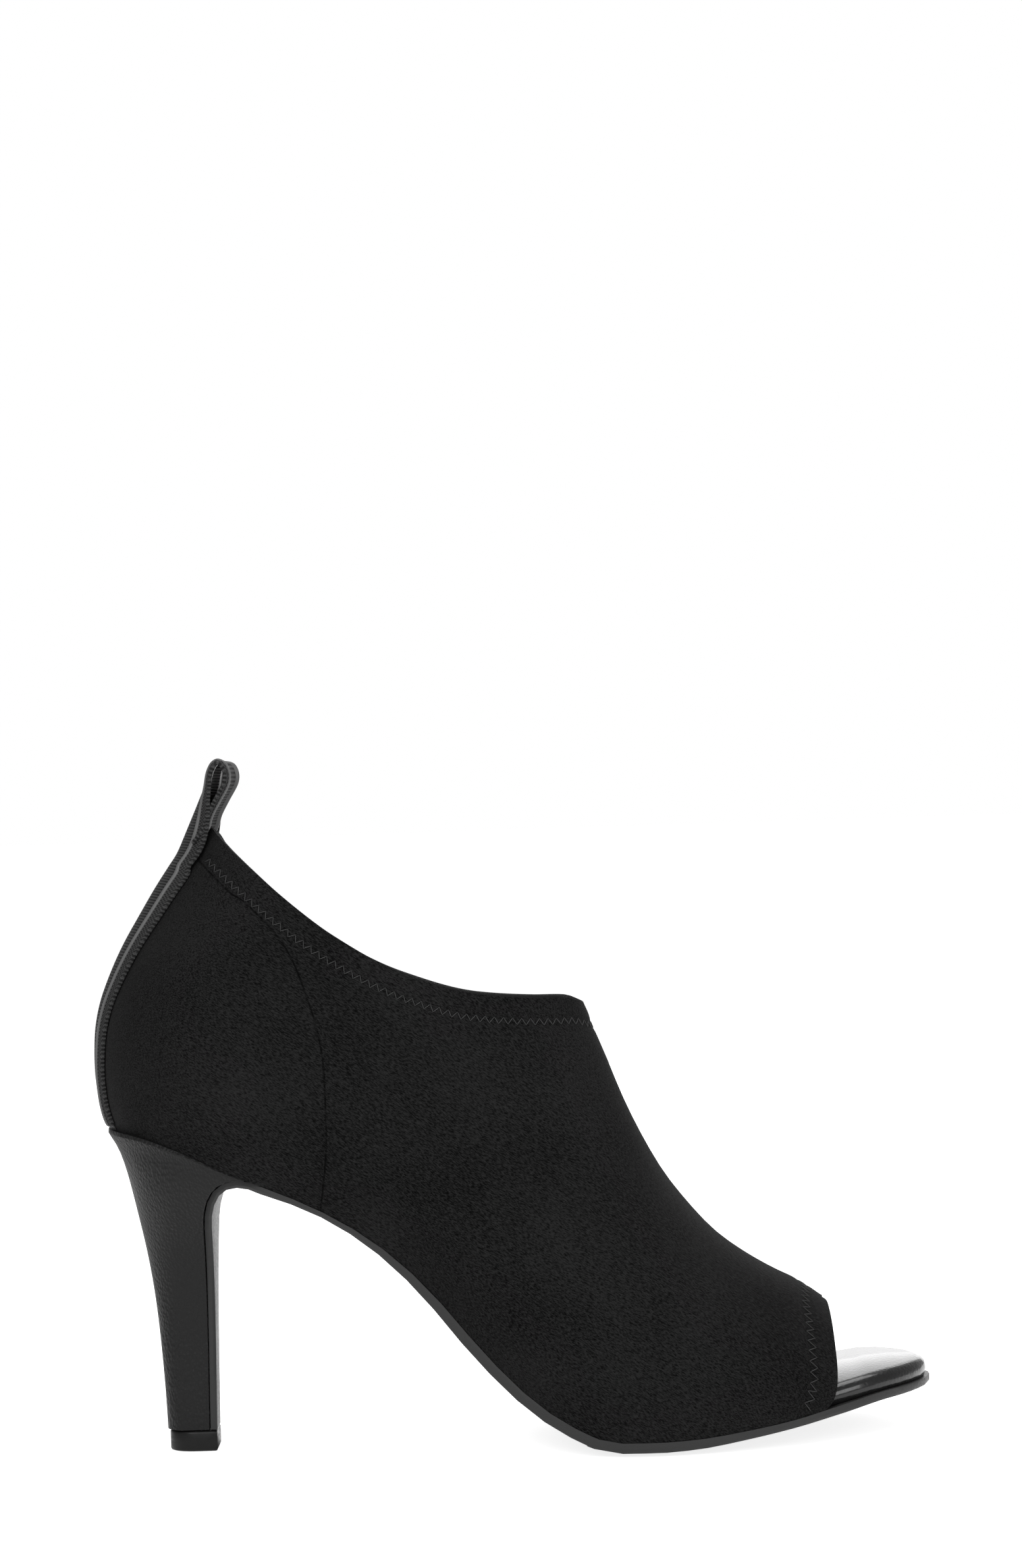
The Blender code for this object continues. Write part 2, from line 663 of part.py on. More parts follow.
def breast_track():
    """The line where the outsole's inner face meets the heel: up the breast, round, and out to the arch."""
    foot = Vector((SEAT_BACK + BREAST_SETBACK, 0.0, TIP_HEIGHT + CLEARANCE))
    upright = Vector((foot.x + BREAST_LEAN, 0.0, CORNER_END))
    arch_x = SEAT_BACK + CORNER_START
    arch = Vector((arch_x, 0.0, sole_top(arch_x)))
    slope = Vector((1.0, 0.0, sole_slope(arch_x)))
    slope.normalize()
    up_handle = upright + (upright - foot).normalized() * CORNER_HANDLES[1]
    arch_handle = arch - slope * CORNER_HANDLES[0]
    points = [foot.lerp(upright, k / 12) for k in range(12)]
    for k in range(25):
        t = k / 24
        part = upright * (1 - t) ** 3 + up_handle * 3 * t * (1 - t) ** 2
        points.append(part + arch_handle * 3 * t * t * (1 - t) + arch * t**3)
    return Track(points)


BREAST = breast_track()


def outsole_stations():
    """Sections of the outsole from the toe back to the arch, then down the flap to its foot.

    Each is (top point, direction into the sole, thickness, middle, half width, tread depth).
    """
    stations = []
    tip = SEAT_BACK + SOLE_LENGTH
    corner = SEAT_BACK + CORNER_START
    tread_ends = [SEAT_BACK + TREAD_FRONT, SEAT_BACK + TREAD_BACK]
    places = []
    count = 36
    for i in range(1, count + 1):
        share = 1 - math.cos(math.pi / 2 * (i / count) ** 1.35)
        places.append(blend(tip, corner, blend(share, i / count, 0.45)))
    places.insert(0, tip - 0.0001)
    for end in tread_ends:
        places = [x for x in places if abs(x - end) > 0.0012] + [end - 0.0002, end + 0.0002]
    places.sort(reverse=True)
    for x in places:
        thickness = OUTSOLE_BALL * table_value(SOLE_PROFILE, "along", "thick", along_sole(x))
        down = Vector((sole_slope(x), 0.0, -1.0))
        down.normalize()
        tread = TREAD if tread_ends[1] <= x <= tread_ends[0] else 0.0
        half = max(sole_half(x), 0.0)
        stations.append((Vector((x, 0.0, sole_top(x))), down, thickness, sole_centre(x), half, tread))
    arch = stations[-1][2]
    turn = 22
    for k in range(1, turn + 1):
        share = 1 - k / turn
        top = BREAST.at(share)
        out = BREAST.offset(share, -1.0) - top
        half = table_value(FLAP_WIDTHS, "along", "width", share) * SEAT_WIDTH / 2
        stations.append((top, out, blend(FLAP_THICKNESS, arch, share), 0.0, half, 0.0))
    return stations


def make_outsole(material):
    """The outsole: toe to arch with its tread under the ball, then the flap down the heel's breast."""
    bm = bmesh.new()
    rows = []
    for top, down, thickness, centre, half, tread in outsole_stations():
        across = [-1.0, -0.6, -0.2, 0.2, 0.6, 1.0]
        under = [1.0, TREAD_SHARE, TREAD_SHARE - 0.012, 0.3, -0.3]
        under += [-(TREAD_SHARE - 0.012), -TREAD_SHARE, -1.0]
        taper = min(OUTSOLE_TAPER, half * 0.2)
        ring = []
        for share in across:
            ring.append(top + Vector((0.0, centre + share * half, 0.0)))
        ring.append(top + down * thickness * 0.6 + Vector((0.0, centre + half, 0.0)))
        for share in under:
            depth = thickness + (tread if abs(share) < TREAD_SHARE - 0.001 else 0.0)
            edge = taper if abs(share) == 1.0 else 0.0
            y = centre + share * (half - edge)
            ring.append(top + down * depth + Vector((0.0, y, 0.0)))
        ring.append(top + down * thickness * 0.6 + Vector((0.0, centre - half, 0.0)))
        rows.append([bm.verts.new(point) for point in ring])
    skin(bm, rows, closed=True)
    bm.faces.new(rows[0][::-1])
    bm.faces.new(rows[-1])
    bmesh.ops.recalc_face_normals(bm, faces=bm.faces)
    return new_object("outsole", bm, material)


def heel_front(share):
    """The heel's front edge at a share of the breast, kept clear of the outsole."""
    wedge = 0.0
    for k in range(200):
        if BREAST.at(k / 200).x >= SEAT_BACK + WEDGE_END:
            wedge = k / 200
            break
    return BREAST.offset(share * wedge, CLEARANCE)


def heel_rings(bm, levels):
    """Rings of the covered heel from its foot up to the seat."""
    tip_back = TIP_SETBACK - TIP_LENGTH / 2 - HEEL_LIP
    low, high = TIP_HEIGHT + CLEARANCE, SEAT_HEIGHT
    seat_front = sole_top(SEAT_BACK + WEDGE_END)
    rings = []
    for i in range(levels + 1):
        level = i / levels
        values = {name: table_value(HEEL_SECTIONS, "level", name, level) for name in HeelRow._fields[1:]}
        back_x = SEAT_BACK + tip_back * (1 - values["back"])
        back_z = blend(low, high, values["height"])
        front = heel_front(values["breast"])
        if i == levels:
            front = Vector((SEAT_BACK + WEDGE_END, 0.0, seat_front))
        if i == 0:
            front.z = low
        half = values["width"] * SEAT_WIDTH / 2
        depth = min(HEEL_ROUND, front.x - back_x) * values["round"]
        sides = []
        count = 14
        for k in range(count + 1):
            along = 1 - math.cos(math.pi / 2 * k / count)
            x = blend(back_x, front.x, along)
            chord = blend(back_z, front.z, along)
            seat = sole_top(x) - blend(sole_top(back_x), sole_top(front.x), along)
            z = chord + seat * values["bow"]
            sides.append((x, half * rounded((x - back_x) / depth), z))
        outer = [bm.verts.new((x, -y, z)) for x, y, z in sides]
        inner = [bm.verts.new((x, y, z)) for x, y, z in sides[1:]]
        breast = [outer[-1].co.lerp(inner[-1].co, k / 4) for k in range(1, 4)]
        rings.append(outer + [bm.verts.new(point) for point in breast] + inner[::-1])
    return rings, count


def make_heel(material):
    """The covered heel: a slim column that opens into the cup under the heel seat."""
    bm = bmesh.new()
    rings, count = heel_rings(bm, 22)
    skin(bm, rings, closed=True)
    bm.faces.new(rings[0][::-1])
    seat = rings[-1]
    rows = []
    for k in range(1, count):
        low, high = seat[k], seat[-k]
        between = [bm.verts.new(low.co.lerp(high.co, step / 4)) for step in range(1, 4)]
        rows.append([low] + between + [high])
    rows.append(seat[count:count + 5])
    for near, far in zip(rows, rows[1:]):
        for k in range(4):
            bm.faces.new((near[k], far[k], far[k + 1], near[k + 1]))
    for k in range(4):
        bm.faces.new((seat[0], rows[0][k], rows[0][k + 1]))
    bmesh.ops.recalc_face_normals(bm, faces=bm.faces)
    return new_object("heel", bm, material)


def make_heel_tip(material):
    """The hard tip under the heel, flat on the floor, with a small bevel round it."""
    bm = bmesh.new()
    back, front = -TIP_LENGTH / 2, TIP_LENGTH / 2
    outline = []
    count = 12
    depth = TIP_LENGTH * 0.55
    for k in range(count + 1):
        x = blend(back, front, 1 - math.cos(math.pi / 2 * k / count))
        outline.append((x, TIP_WIDTH / 2 * rounded((x - back) / depth)))
    ring = [bm.verts.new((x, -y, 0.0)) for x, y in outline]
    ring += [bm.verts.new((x, y, 0.0)) for x, y in outline[:0:-1]]
    face = bm.faces.new(ring[::-1])
    raised = bmesh.ops.extrude_face_region(bm, geom=[face])
    lifted = [item for item in raised["geom"] if isinstance(item, bmesh.types.BMVert)]
    bmesh.ops.translate(bm, verts=lifted, vec=(0.0, 0.0, TIP_HEIGHT))
    bmesh.ops.recalc_face_normals(bm, faces=bm.faces)
    rims = [e for e in bm.edges if len({round(v.co.z, 6) for v in e.verts}) == 1]
    bmesh.ops.bevel(bm, geom=rims, offset=0.0006, segments=2, affect="EDGES", profile=0.5, material=-1)
    return new_object("heel_tip", bm, material)


def back_surface(y, z):
    """The upper's outer face near its back: how far forward it lies at a place across."""
    low, high = back_line(z), back_line(z) + HEEL_ROUND
    for _ in range(40):
        middle = (low + high) / 2
        if upper_half(middle, z, -1) < abs(y):
            low = middle
        else:
            high = middle
    return (low + high) / 2


def tape_rows():
    """The tape's inner face as rows across it: up the back, round the loop and down behind the lap."""
    across = 10
    ys = [blend(TAPE_WIDTH / 2, -TAPE_WIDTH / 2, k / across) for k in range(across + 1)]
    start = SEAT_HEIGHT + CLEARANCE + TAPE_FOOT
    rows = []
    climbs = 15
    for i in range(climbs + 1):
        z = blend(start, LAP_HEIGHT, i / climbs)
        rows.append([Vector((back_surface(y, z), y, z)) for y in ys])
    sag = [point.x - rows[-1][across // 2].x for point in rows[-1]]
    lean = rows[-1][across // 2] - rows[-3][across // 2]
    lean.normalize()
    outward = Vector((-lean.z, 0.0, lean.x))
    middle = TAPE_THICKNESS / 2
    top = Vector((SEAT_BACK + COLLAR_LEAN, 0.0, COLLAR_HEIGHT))
    path = [rows[-1][across // 2] + outward * (CLEARANCE + middle)]
    path += [top + Vector((row.forward, 0.0, row.rise)) * LOOP_RISE for row in LOOP_CURVE]
    for share in (0.985, LOOP_END):
        path.append(BACK.offset(share, CLEARANCE + middle))
    return rows, sag, path, ys


def smooth_path(points, count):
    """Evenly spaced points on a soft curve through the given ones."""
    dense = []
    ends = [points[0] * 2 - points[1]] + points + [points[-1] * 2 - points[-2]]
    for a, b, c, d in zip(ends, ends[1:], ends[2:], ends[3:]):
        for k in range(12):
            t = k / 12
            bend = (c - a) * t + (a * 2 - b * 5 + c * 4 - d) * t * t + (b * 3 - a - c * 3 + d) * t**3
            dense.append(b + bend / 2)
    track = Track([(point.x, point.z) for point in dense + [points[-1]]])
    return track, [i / count for i in range(count + 1)]


def make_tape(material):
    """The woven tape up the back, one strip with its pull loop."""
    bm = bmesh.new()
    rows, sag, path, ys = tape_rows()
    lower = [[bm.verts.new(point) for point in row] for row in rows]
    skin(bm, lower, closed=False)
    bm.normal_update()
    for row in lower:
        for vertex in row:
            vertex.co += vertex.normal * CLEARANCE
    track, shares = smooth_path(path, 26)
    loop = []
    for share in shares[1:]:
        point = track.offset(share, -TAPE_THICKNESS / 2)
        flatter = 1 - LOOP_FLATTEN * eased((point.z - LAP_HEIGHT) / FLATTEN_RISE)
        before = track.at(share + 0.01) - track.at(share - 0.01)
        forward = Vector((before.z, 0.0, -before.x))
        forward.normalize()
        turned = forward.x
        bend = [Vector((abs(turned) * dip * flatter, y, 0.0)) for dip, y in zip(sag, ys)]
        loop.append([bm.verts.new(point + shift) for shift in bend])
    skin(bm, [lower[-1]] + loop, closed=False)
    bm.normal_update()
    tape = new_object("back_tape", bm, material)
    solid = tape.modifiers.new("weave", "SOLIDIFY")
    solid.thickness = TAPE_THICKNESS
    solid.offset = 1.0
    solid.use_rim = True
    return tape


def main():
    for old in list(bpy.data.objects):
        bpy.data.objects.remove(old)
    suede = new_material("suede", (0.010, 0.010, 0.011), 0.92)
    padding = new_material("padding", (0.018, 0.018, 0.018), 0.42)
    rubber = new_material("rubber", (0.022, 0.021, 0.022), 0.55)
    cover = new_material("cover", (0.012, 0.012, 0.012), 0.35)
    hard = new_material("hard", (0.010, 0.010, 0.010), 0.40)
    webbing = new_material("webbing", (0.009, 0.009, 0.010), 0.80)
    make_upper(suede)
    make_insole(padding)
    make_outsole(rubber)
    make_heel(cover)
    make_heel_tip(hard)
    make_tape(webbing)


main()
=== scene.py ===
# %% [markdown]
# A peep toe ankle boot on a slim heel, dressed from its solids.
# The imported frame holds six solids of one right shoe: upper, insole, outsole, heel, heel tip and the
# tape up the back. Everything is in metres. X runs from heel to toe, Y from the outer side of the
# foot to the inner side, and Z is up from the floor.

# %% Load the frame and list its solids
import math
from collections import namedtuple

import bmesh
import bpy
from mathutils import Matrix, Vector
from mathutils.bvhtree import BVHTree


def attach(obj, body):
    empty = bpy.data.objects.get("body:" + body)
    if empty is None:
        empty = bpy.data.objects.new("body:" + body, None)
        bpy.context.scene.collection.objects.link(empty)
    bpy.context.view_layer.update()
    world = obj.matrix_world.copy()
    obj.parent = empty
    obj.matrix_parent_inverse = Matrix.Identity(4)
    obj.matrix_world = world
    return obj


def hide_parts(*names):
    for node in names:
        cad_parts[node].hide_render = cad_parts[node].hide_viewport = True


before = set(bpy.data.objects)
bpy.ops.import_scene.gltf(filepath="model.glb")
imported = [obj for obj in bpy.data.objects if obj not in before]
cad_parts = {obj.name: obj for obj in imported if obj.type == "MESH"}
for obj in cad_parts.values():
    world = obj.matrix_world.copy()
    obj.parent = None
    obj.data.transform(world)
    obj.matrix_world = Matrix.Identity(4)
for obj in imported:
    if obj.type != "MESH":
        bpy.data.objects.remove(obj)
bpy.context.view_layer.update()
print("solids:", ", ".join(sorted(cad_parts)))

# %% [markdown]
# A shoe is built over a last, a solid form of the foot, so the last's sizes come first. The upper
# could be copied from its solid, but that has only forty columns a side. Working it out again from
# the same sizes gives a fine sheet, and tells for each point how far it lies from collar and seam.

# %% The sizes of the last
SOLE_LENGTH = 0.2250         # from the back of the heel seat to the tip of the toe, on the plan
TIP_SETBACK = 0.0213         # the heel tip's middle, forward of the back of the heel seat
SEAT_HEIGHT = 0.0894         # the back of the heel seat over the floor
BALL_REST = 0.0040           # the top of the outsole over the floor under the ball
TOE_SPRING = 0.0098          # how far the outsole's top rises from the ball to the toe
COLLAR_HEIGHT = 0.1712       # the back of the collar over the floor
COLLAR_LEAN = 0.0315         # the back of the collar, forward of the back of the heel seat
THROAT_HEIGHT = 0.1198       # the front of the collar over the floor
THROAT_REACH = 0.1324        # the front of the collar, forward of the back of the heel seat
PEEP_HEIGHT = 0.0360         # the top of the toe opening over the floor
PEEP_REACH = 0.1970          # the toe opening, forward of the back of the heel seat
PEEP_FOOT = 0.0042           # how far the opening's edge runs back at its foot
SHIN_LEAN = 0.10             # how far the shin leans back over the throat, for each unit of height
BALL_WIDTH = 0.0770          # the sole's width under the ball, and below under waist, seat and toe
WAIST_WIDTH = 0.0460
SEAT_WIDTH = 0.0550
TOE_WIDTH = 0.0680
COLLAR_WIDTH = 0.0410        # the upper's width at the ankle and the collar
HEEL_ROUND = 0.0340          # the depth over which the rounded back reaches full width
COLLAR_ROUND = 0.0430        # the same at the collar, where the back is more pointed
TOE_ROUND = 0.0450           # the same for the rounded toe
TOE_FULLNESS = 1.9           # 2 is an ellipse, more is squarer
CREST_DRIFT = 0.0035         # how far the vamp's crest lies towards the inner side at the toe
MEDIAL_DROP = 0.0037         # how far the collar's inner side lies under its outer side

# %% The sizes of the upper and of the tape
WALL = 0.0016
HEM_WALL = 0.0024            # the wall where the edge is folded in and stitched
COLLAR_HEM = 0.0072
PEEP_HEM = 0.0068
SOLE_MARGIN = 0.0003         # the sole's edge stands this far outside the upper
TAPE_WIDTH = 0.0170
TAPE_THICKNESS = 0.0014
TAPE_FOOT = 0.0006           # the tape's foot over the heel's rim
LOOP_RISE = 0.0180           # the loop's top over the back of the collar
LAP_HEIGHT = 0.1590          # where the loop's outer strand leaves the upper
CLEARANCE = 0.0003
SEAM = -0.0003               # the upper's edge is drawn this far under the outsole's top
COLLAR_SHIFT = 0.75          # under 1, the upper's columns lean towards the throat as they climb
CREST_SHIFT = 1.3            # over 1, the upper's rows lie closer at the toe end of the crest

# %% [markdown]
# A drawn curve is kept as a short table of shares, read through a curve that never overshoots
# a row. The first two tables are the sole's outline from above and its top from the side.

# %% The sole's outline and its profile
SoleRow = namedtuple("SoleRow", "along width centre")
ProfileRow = namedtuple("ProfileRow", "along rise spring")

# The sole's outline: its width at shares of the length, and how far its middle drifts, as a share
# of the ball's width.
SOLE_OUTLINE = (
    SoleRow(0.00, 1.00 * SEAT_WIDTH, 0.000),
    SoleRow(0.17, 1.00 * SEAT_WIDTH, 0.000),
    SoleRow(0.26, 0.92 * SEAT_WIDTH, -0.010),
    SoleRow(0.37, 1.00 * WAIST_WIDTH, -0.028),
    SoleRow(0.44, 1.08 * WAIST_WIDTH, -0.042),
    SoleRow(0.52, 0.78 * BALL_WIDTH, -0.045),
    SoleRow(0.58, 0.91 * BALL_WIDTH, -0.028),
    SoleRow(0.66, 0.99 * BALL_WIDTH, -0.010),
    SoleRow(0.71, 1.00 * BALL_WIDTH, 0.000),
    SoleRow(0.80, 0.96 * BALL_WIDTH, 0.016),
    SoleRow(0.88, 1.02 * TOE_WIDTH, 0.032),
    SoleRow(1.00, 1.00 * TOE_WIDTH, 0.052),
)

# The outsole's top from the side: rise is a share of the heel's and spring a share of the toe's.
SOLE_PROFILE = (
    ProfileRow(0.00, 1.000, 0.00),
    ProfileRow(0.04, 0.985, 0.00),
    ProfileRow(0.09, 0.944, 0.00),
    ProfileRow(0.15, 0.872, 0.00),
    ProfileRow(0.20, 0.816, 0.00),
    ProfileRow(0.25, 0.757, 0.00),
    ProfileRow(0.30, 0.682, 0.00),
    ProfileRow(0.35, 0.583, 0.00),
    ProfileRow(0.40, 0.450, 0.00),
    ProfileRow(0.44, 0.324, 0.00),
    ProfileRow(0.48, 0.208, 0.00),
    ProfileRow(0.52, 0.114, 0.00),
    ProfileRow(0.56, 0.048, 0.00),
    ProfileRow(0.60, 0.004, 0.00),
    ProfileRow(0.61, 0.000, 0.00),
    ProfileRow(0.66, 0.000, 0.00),
    ProfileRow(0.70, 0.000, 0.04),
    ProfileRow(0.76, 0.000, 0.20),
    ProfileRow(0.82, 0.000, 0.42),
    ProfileRow(0.88, 0.000, 0.70),
    ProfileRow(0.94, 0.000, 0.94),
    ProfileRow(1.00, 0.000, 1.00),
)

# %% [markdown]
# The next tables are the edges of the upper seen from the side: its back, the collar's slant, the
# crest of the vamp and the toe opening. The last one says how the body swells past the sole.

# %% The edges of the upper
BackRow = namedtuple("BackRow", "height lean")
EdgeRow = namedtuple("EdgeRow", "along drop sink")
CrestRow = namedtuple("CrestRow", "drop along")
PeepRow = namedtuple("PeepRow", "height reach")

# The upper's back from the seat up to the collar, in shares of that height and of the collar's lean.
BACK_CURVE = (
    BackRow(0.00, 0.070),
    BackRow(0.04, 0.028),
    BackRow(0.10, -0.006),
    BackRow(0.20, -0.025),
    BackRow(0.31, -0.009),
    BackRow(0.40, 0.040),
    BackRow(0.50, 0.145),
    BackRow(0.60, 0.278),
    BackRow(0.70, 0.440),
    BackRow(0.80, 0.605),
    BackRow(0.90, 0.790),
    BackRow(1.00, 1.000),
)

# The collar from its back to its front, in shares of its length and of its fall. Sink is how far the
# inner side lies under the outer one, as a share of the named drop.
COLLAR_CURVE = (
    EdgeRow(0.000, 0.000, 0.00),
    EdgeRow(0.050, 0.102, 0.88),
    EdgeRow(0.118, 0.231, 1.00),
    EdgeRow(0.190, 0.361, 1.00),
    EdgeRow(0.330, 0.584, 0.88),
    EdgeRow(0.502, 0.782, 0.60),
    EdgeRow(0.710, 0.920, 0.36),
    EdgeRow(0.865, 0.956, 0.17),
    EdgeRow(0.950, 0.965, 0.04),
    EdgeRow(1.000, 1.000, 0.00),
)

# The crest of the vamp from the collar down to the toe opening, in shares of its fall and its length.
CREST_CURVE = (
    CrestRow(0.000, 0.000),
    CrestRow(0.044, 0.020),
    CrestRow(0.081, 0.038),
    CrestRow(0.181, 0.090),
    CrestRow(0.310, 0.153),
    CrestRow(0.433, 0.225),
    CrestRow(0.567, 0.320),
    CrestRow(0.667, 0.415),
    CrestRow(0.769, 0.532),
    CrestRow(0.837, 0.642),
    CrestRow(0.908, 0.788),
    CrestRow(0.942, 0.875),
    CrestRow(1.000, 1.000),
)

# The edge of the toe opening from its foot up, in shares of its height and of how far its foot runs back.
PEEP_CURVE = (
    PeepRow(0.00, 0.00),
    PeepRow(0.05, 0.42),
    PeepRow(0.13, 0.76),
    PeepRow(0.26, 1.00),
    PeepRow(0.45, 1.08),
    PeepRow(0.80, 1.06),
    PeepRow(1.00, 1.00),
)

# %% The body of the upper and the pull loop
BodyRow = namedtuple("BodyRow", "along outer inner belly ankle crown")
LoopRow = namedtuple("LoopRow", "forward rise")

# The upper's body: how far it swells past the sole's edge on each side, as shares of the ball's width,
# the height of its widest place and of the ankle as shares of the collar's height, and the depth
# of the rounded crest as a share of the ball's width.
UPPER_BODY = (
    BodyRow(0.00, 0.016, 0.016, 0.11, 0.44, 0.60),
    BodyRow(0.15, 0.020, 0.020, 0.12, 0.50, 0.60),
    BodyRow(0.27, 0.058, 0.062, 0.14, 0.48, 0.60),
    BodyRow(0.40, 0.092, 0.125, 0.15, 0.54, 0.60),
    BodyRow(0.52, 0.058, 0.090, 0.13, 0.66, 0.56),
    BodyRow(0.60, 0.030, 0.040, 0.11, 0.72, 0.46),
    BodyRow(0.68, 0.020, 0.018, 0.08, 0.76, 0.38),
    BodyRow(0.80, 0.018, 0.010, 0.06, 0.80, 0.33),
    BodyRow(1.00, 0.016, 0.012, 0.05, 0.80, 0.30),
)

# The middle line of the loop from the lap up, over and down to its end, in shares of its rise,
# measured from the back of the collar.
LOOP_CURVE = (
    LoopRow(-0.530, -0.420),
    LoopRow(-0.375, -0.090),
    LoopRow(-0.190, 0.300),
    LoopRow(-0.045, 0.610),
    LoopRow(0.030, 0.850),
    LoopRow(0.140, 1.005),
    LoopRow(0.245, 0.890),
    LoopRow(0.255, 0.690),
    LoopRow(0.105, 0.420),
    LoopRow(-0.025, 0.180),
)
LOOP_END = 0.930             # where the inner strand ends, as a share of the upper's back

# %% Read the tables and follow the lines
def table_value(table, key, column, at):
    """A column of a table at a place in its key column, through a curve that never overshoots a row."""
    keys = [getattr(row, key) for row in table]
    values = [getattr(row, column) for row in table]
    at = min(max(at, keys[0]), keys[-1])
    spans = [b - a for a, b in zip(keys, keys[1:])]
    rises = [(b - a) / span for a, b, span in zip(values, values[1:], spans)]
    slopes = [rises[0]]
    for before, after in zip(rises, rises[1:]):
        same_way = before * after > 0
        slopes.append(2 * before * after / (before + after) if same_way else 0.0)
    slopes.append(rises[-1])
    row = max(i for i in range(len(spans)) if keys[i] <= at)
    t = (at - keys[row]) / spans[row]
    start = values[row] * (1 + 2 * t) * (1 - t) ** 2 + slopes[row] * spans[row] * t * (1 - t) ** 2
    end = values[row + 1] * t * t * (3 - 2 * t) + slopes[row + 1] * spans[row] * t * t * (t - 1)
    return start + end


def blend(low, high, t):
    """From low at 0 to high at 1."""
    return low + (high - low) * t


def eased(t):
    """A soft step from 0 to 1."""
    t = min(max(t, 0.0), 1.0)
    return t * t * (3 - 2 * t)


def rounded(t, power=2.0):
    """The half width of a rounded end, t of the way along the stretch that it takes up."""
    t = min(max(t, 0.0), 1.0)
    return (1 - (1 - t) ** power) ** (1 / power)


class Track:
    """A line of points in the X-Z plane, read by the share of its length."""

    def __init__(self, points):
        self.points = [Vector((point[0], 0.0, point[-1])) for point in points]
        self.lengths = [0.0]
        for a, b in zip(self.points, self.points[1:]):
            self.lengths.append(self.lengths[-1] + (b - a).length)
        self.length = self.lengths[-1]

    def at(self, share):
        """The point at a share of the length."""
        along = min(max(share, 0.0), 1.0) * self.length
        step = max(i for i in range(len(self.points) - 1) if self.lengths[i] <= along)
        part = (along - self.lengths[step]) / (self.lengths[step + 1] - self.lengths[step])
        return self.points[step].lerp(self.points[step + 1], part)

    def offset(self, share, distance):
        """The point beside the line, to the left of its direction where the distance is positive."""
        reach = 0.01
        ahead = self.at(share + reach) - self.at(share - reach)
        ahead.normalize()
        return self.at(share) + Vector((-ahead.z, 0.0, ahead.x)) * distance

    def distance(self, x, z):
        """How far a point lies from the line."""
        point = Vector((x, 0.0, z))
        nearest = math.inf
        for a, b in zip(self.points, self.points[1:]):
            run = b - a
            part = min(max((point - a).dot(run) / run.length_squared, 0.0), 1.0)
            nearest = min(nearest, (point - a - run * part).length)
        return nearest


# %% The sole that the upper stands on
SEAT_BACK = -TIP_SETBACK


def along_sole(x):
    """The share of the sole's length at a place."""
    return (x - SEAT_BACK) / SOLE_LENGTH


def sole_top(x):
    """The height of the outsole's top and of the heel seat, on which upper and insole stand."""
    share = along_sole(x)
    rise = table_value(SOLE_PROFILE, "along", "rise", share) * (SEAT_HEIGHT - BALL_REST)
    return BALL_REST + rise + table_value(SOLE_PROFILE, "along", "spring", share) * TOE_SPRING


def sole_slope(x):
    """The slope of the outsole's top."""
    reach = 0.002
    return (sole_top(x + reach) - sole_top(x - reach)) / (2 * reach)


def over_sole(x, distance):
    """The height of a point that lies this far off the outsole's top, square to it."""
    return sole_top(x) + distance * math.hypot(1.0, sole_slope(x))


def sole_centre(x):
    """The middle of the sole's outline across the foot."""
    return table_value(SOLE_OUTLINE, "along", "centre", along_sole(x)) * BALL_WIDTH


def toe_closing(x, inset=0.0):
    """How the rounded toe narrows the sole towards its tip."""
    left = (SEAT_BACK + SOLE_LENGTH - inset - x) / (TOE_ROUND - inset)
    return rounded(left, TOE_FULLNESS)


# %% The body between the edges
def back_line(z):
    """The upper's back edge, seen from the side, at a height."""
    base = SEAT_HEIGHT + SEAM
    share = (z - base) / (COLLAR_HEIGHT - base)
    return SEAT_BACK + table_value(BACK_CURVE, "height", "lean", share) * COLLAR_LEAN


def crest_track():
    """The crest of the vamp from the collar to the toe opening, and a little past both."""
    points = []
    steps = 48
    for i in range(steps + 1):
        drop = i / steps
        forward = table_value(CREST_CURVE, "drop", "along", drop)
        x = SEAT_BACK + blend(THROAT_REACH, PEEP_REACH, forward)
        points.append((x, blend(THROAT_HEIGHT, PEEP_HEIGHT, drop)))
    shin = (points[0][0] - SHIN_LEAN * (COLLAR_HEIGHT - THROAT_HEIGHT), COLLAR_HEIGHT)
    span = 3
    end, before = points[-1], points[-1 - span]
    past = (end[0] + (end[0] - before[0]) * span, end[1] + (end[1] - before[1]) * span)
    return Track(points), Track([shin] + points + [past])


CREST, CREST_EXTENDED = crest_track()


def upper_centre(x, z):
    """The middle of the upper across the foot, which drifts from the sole's middle to the crest's."""
    toe_share = eased((x - SEAT_BACK - THROAT_REACH) / (PEEP_REACH - THROAT_REACH))
    crest = toe_share * CREST_DRIFT
    height = (z - sole_top(x)) / (blend(THROAT_HEIGHT, PEEP_HEIGHT, toe_share) - BALL_REST)
    return blend(sole_centre(x), crest + sole_centre(x) * toe_share, eased(height))


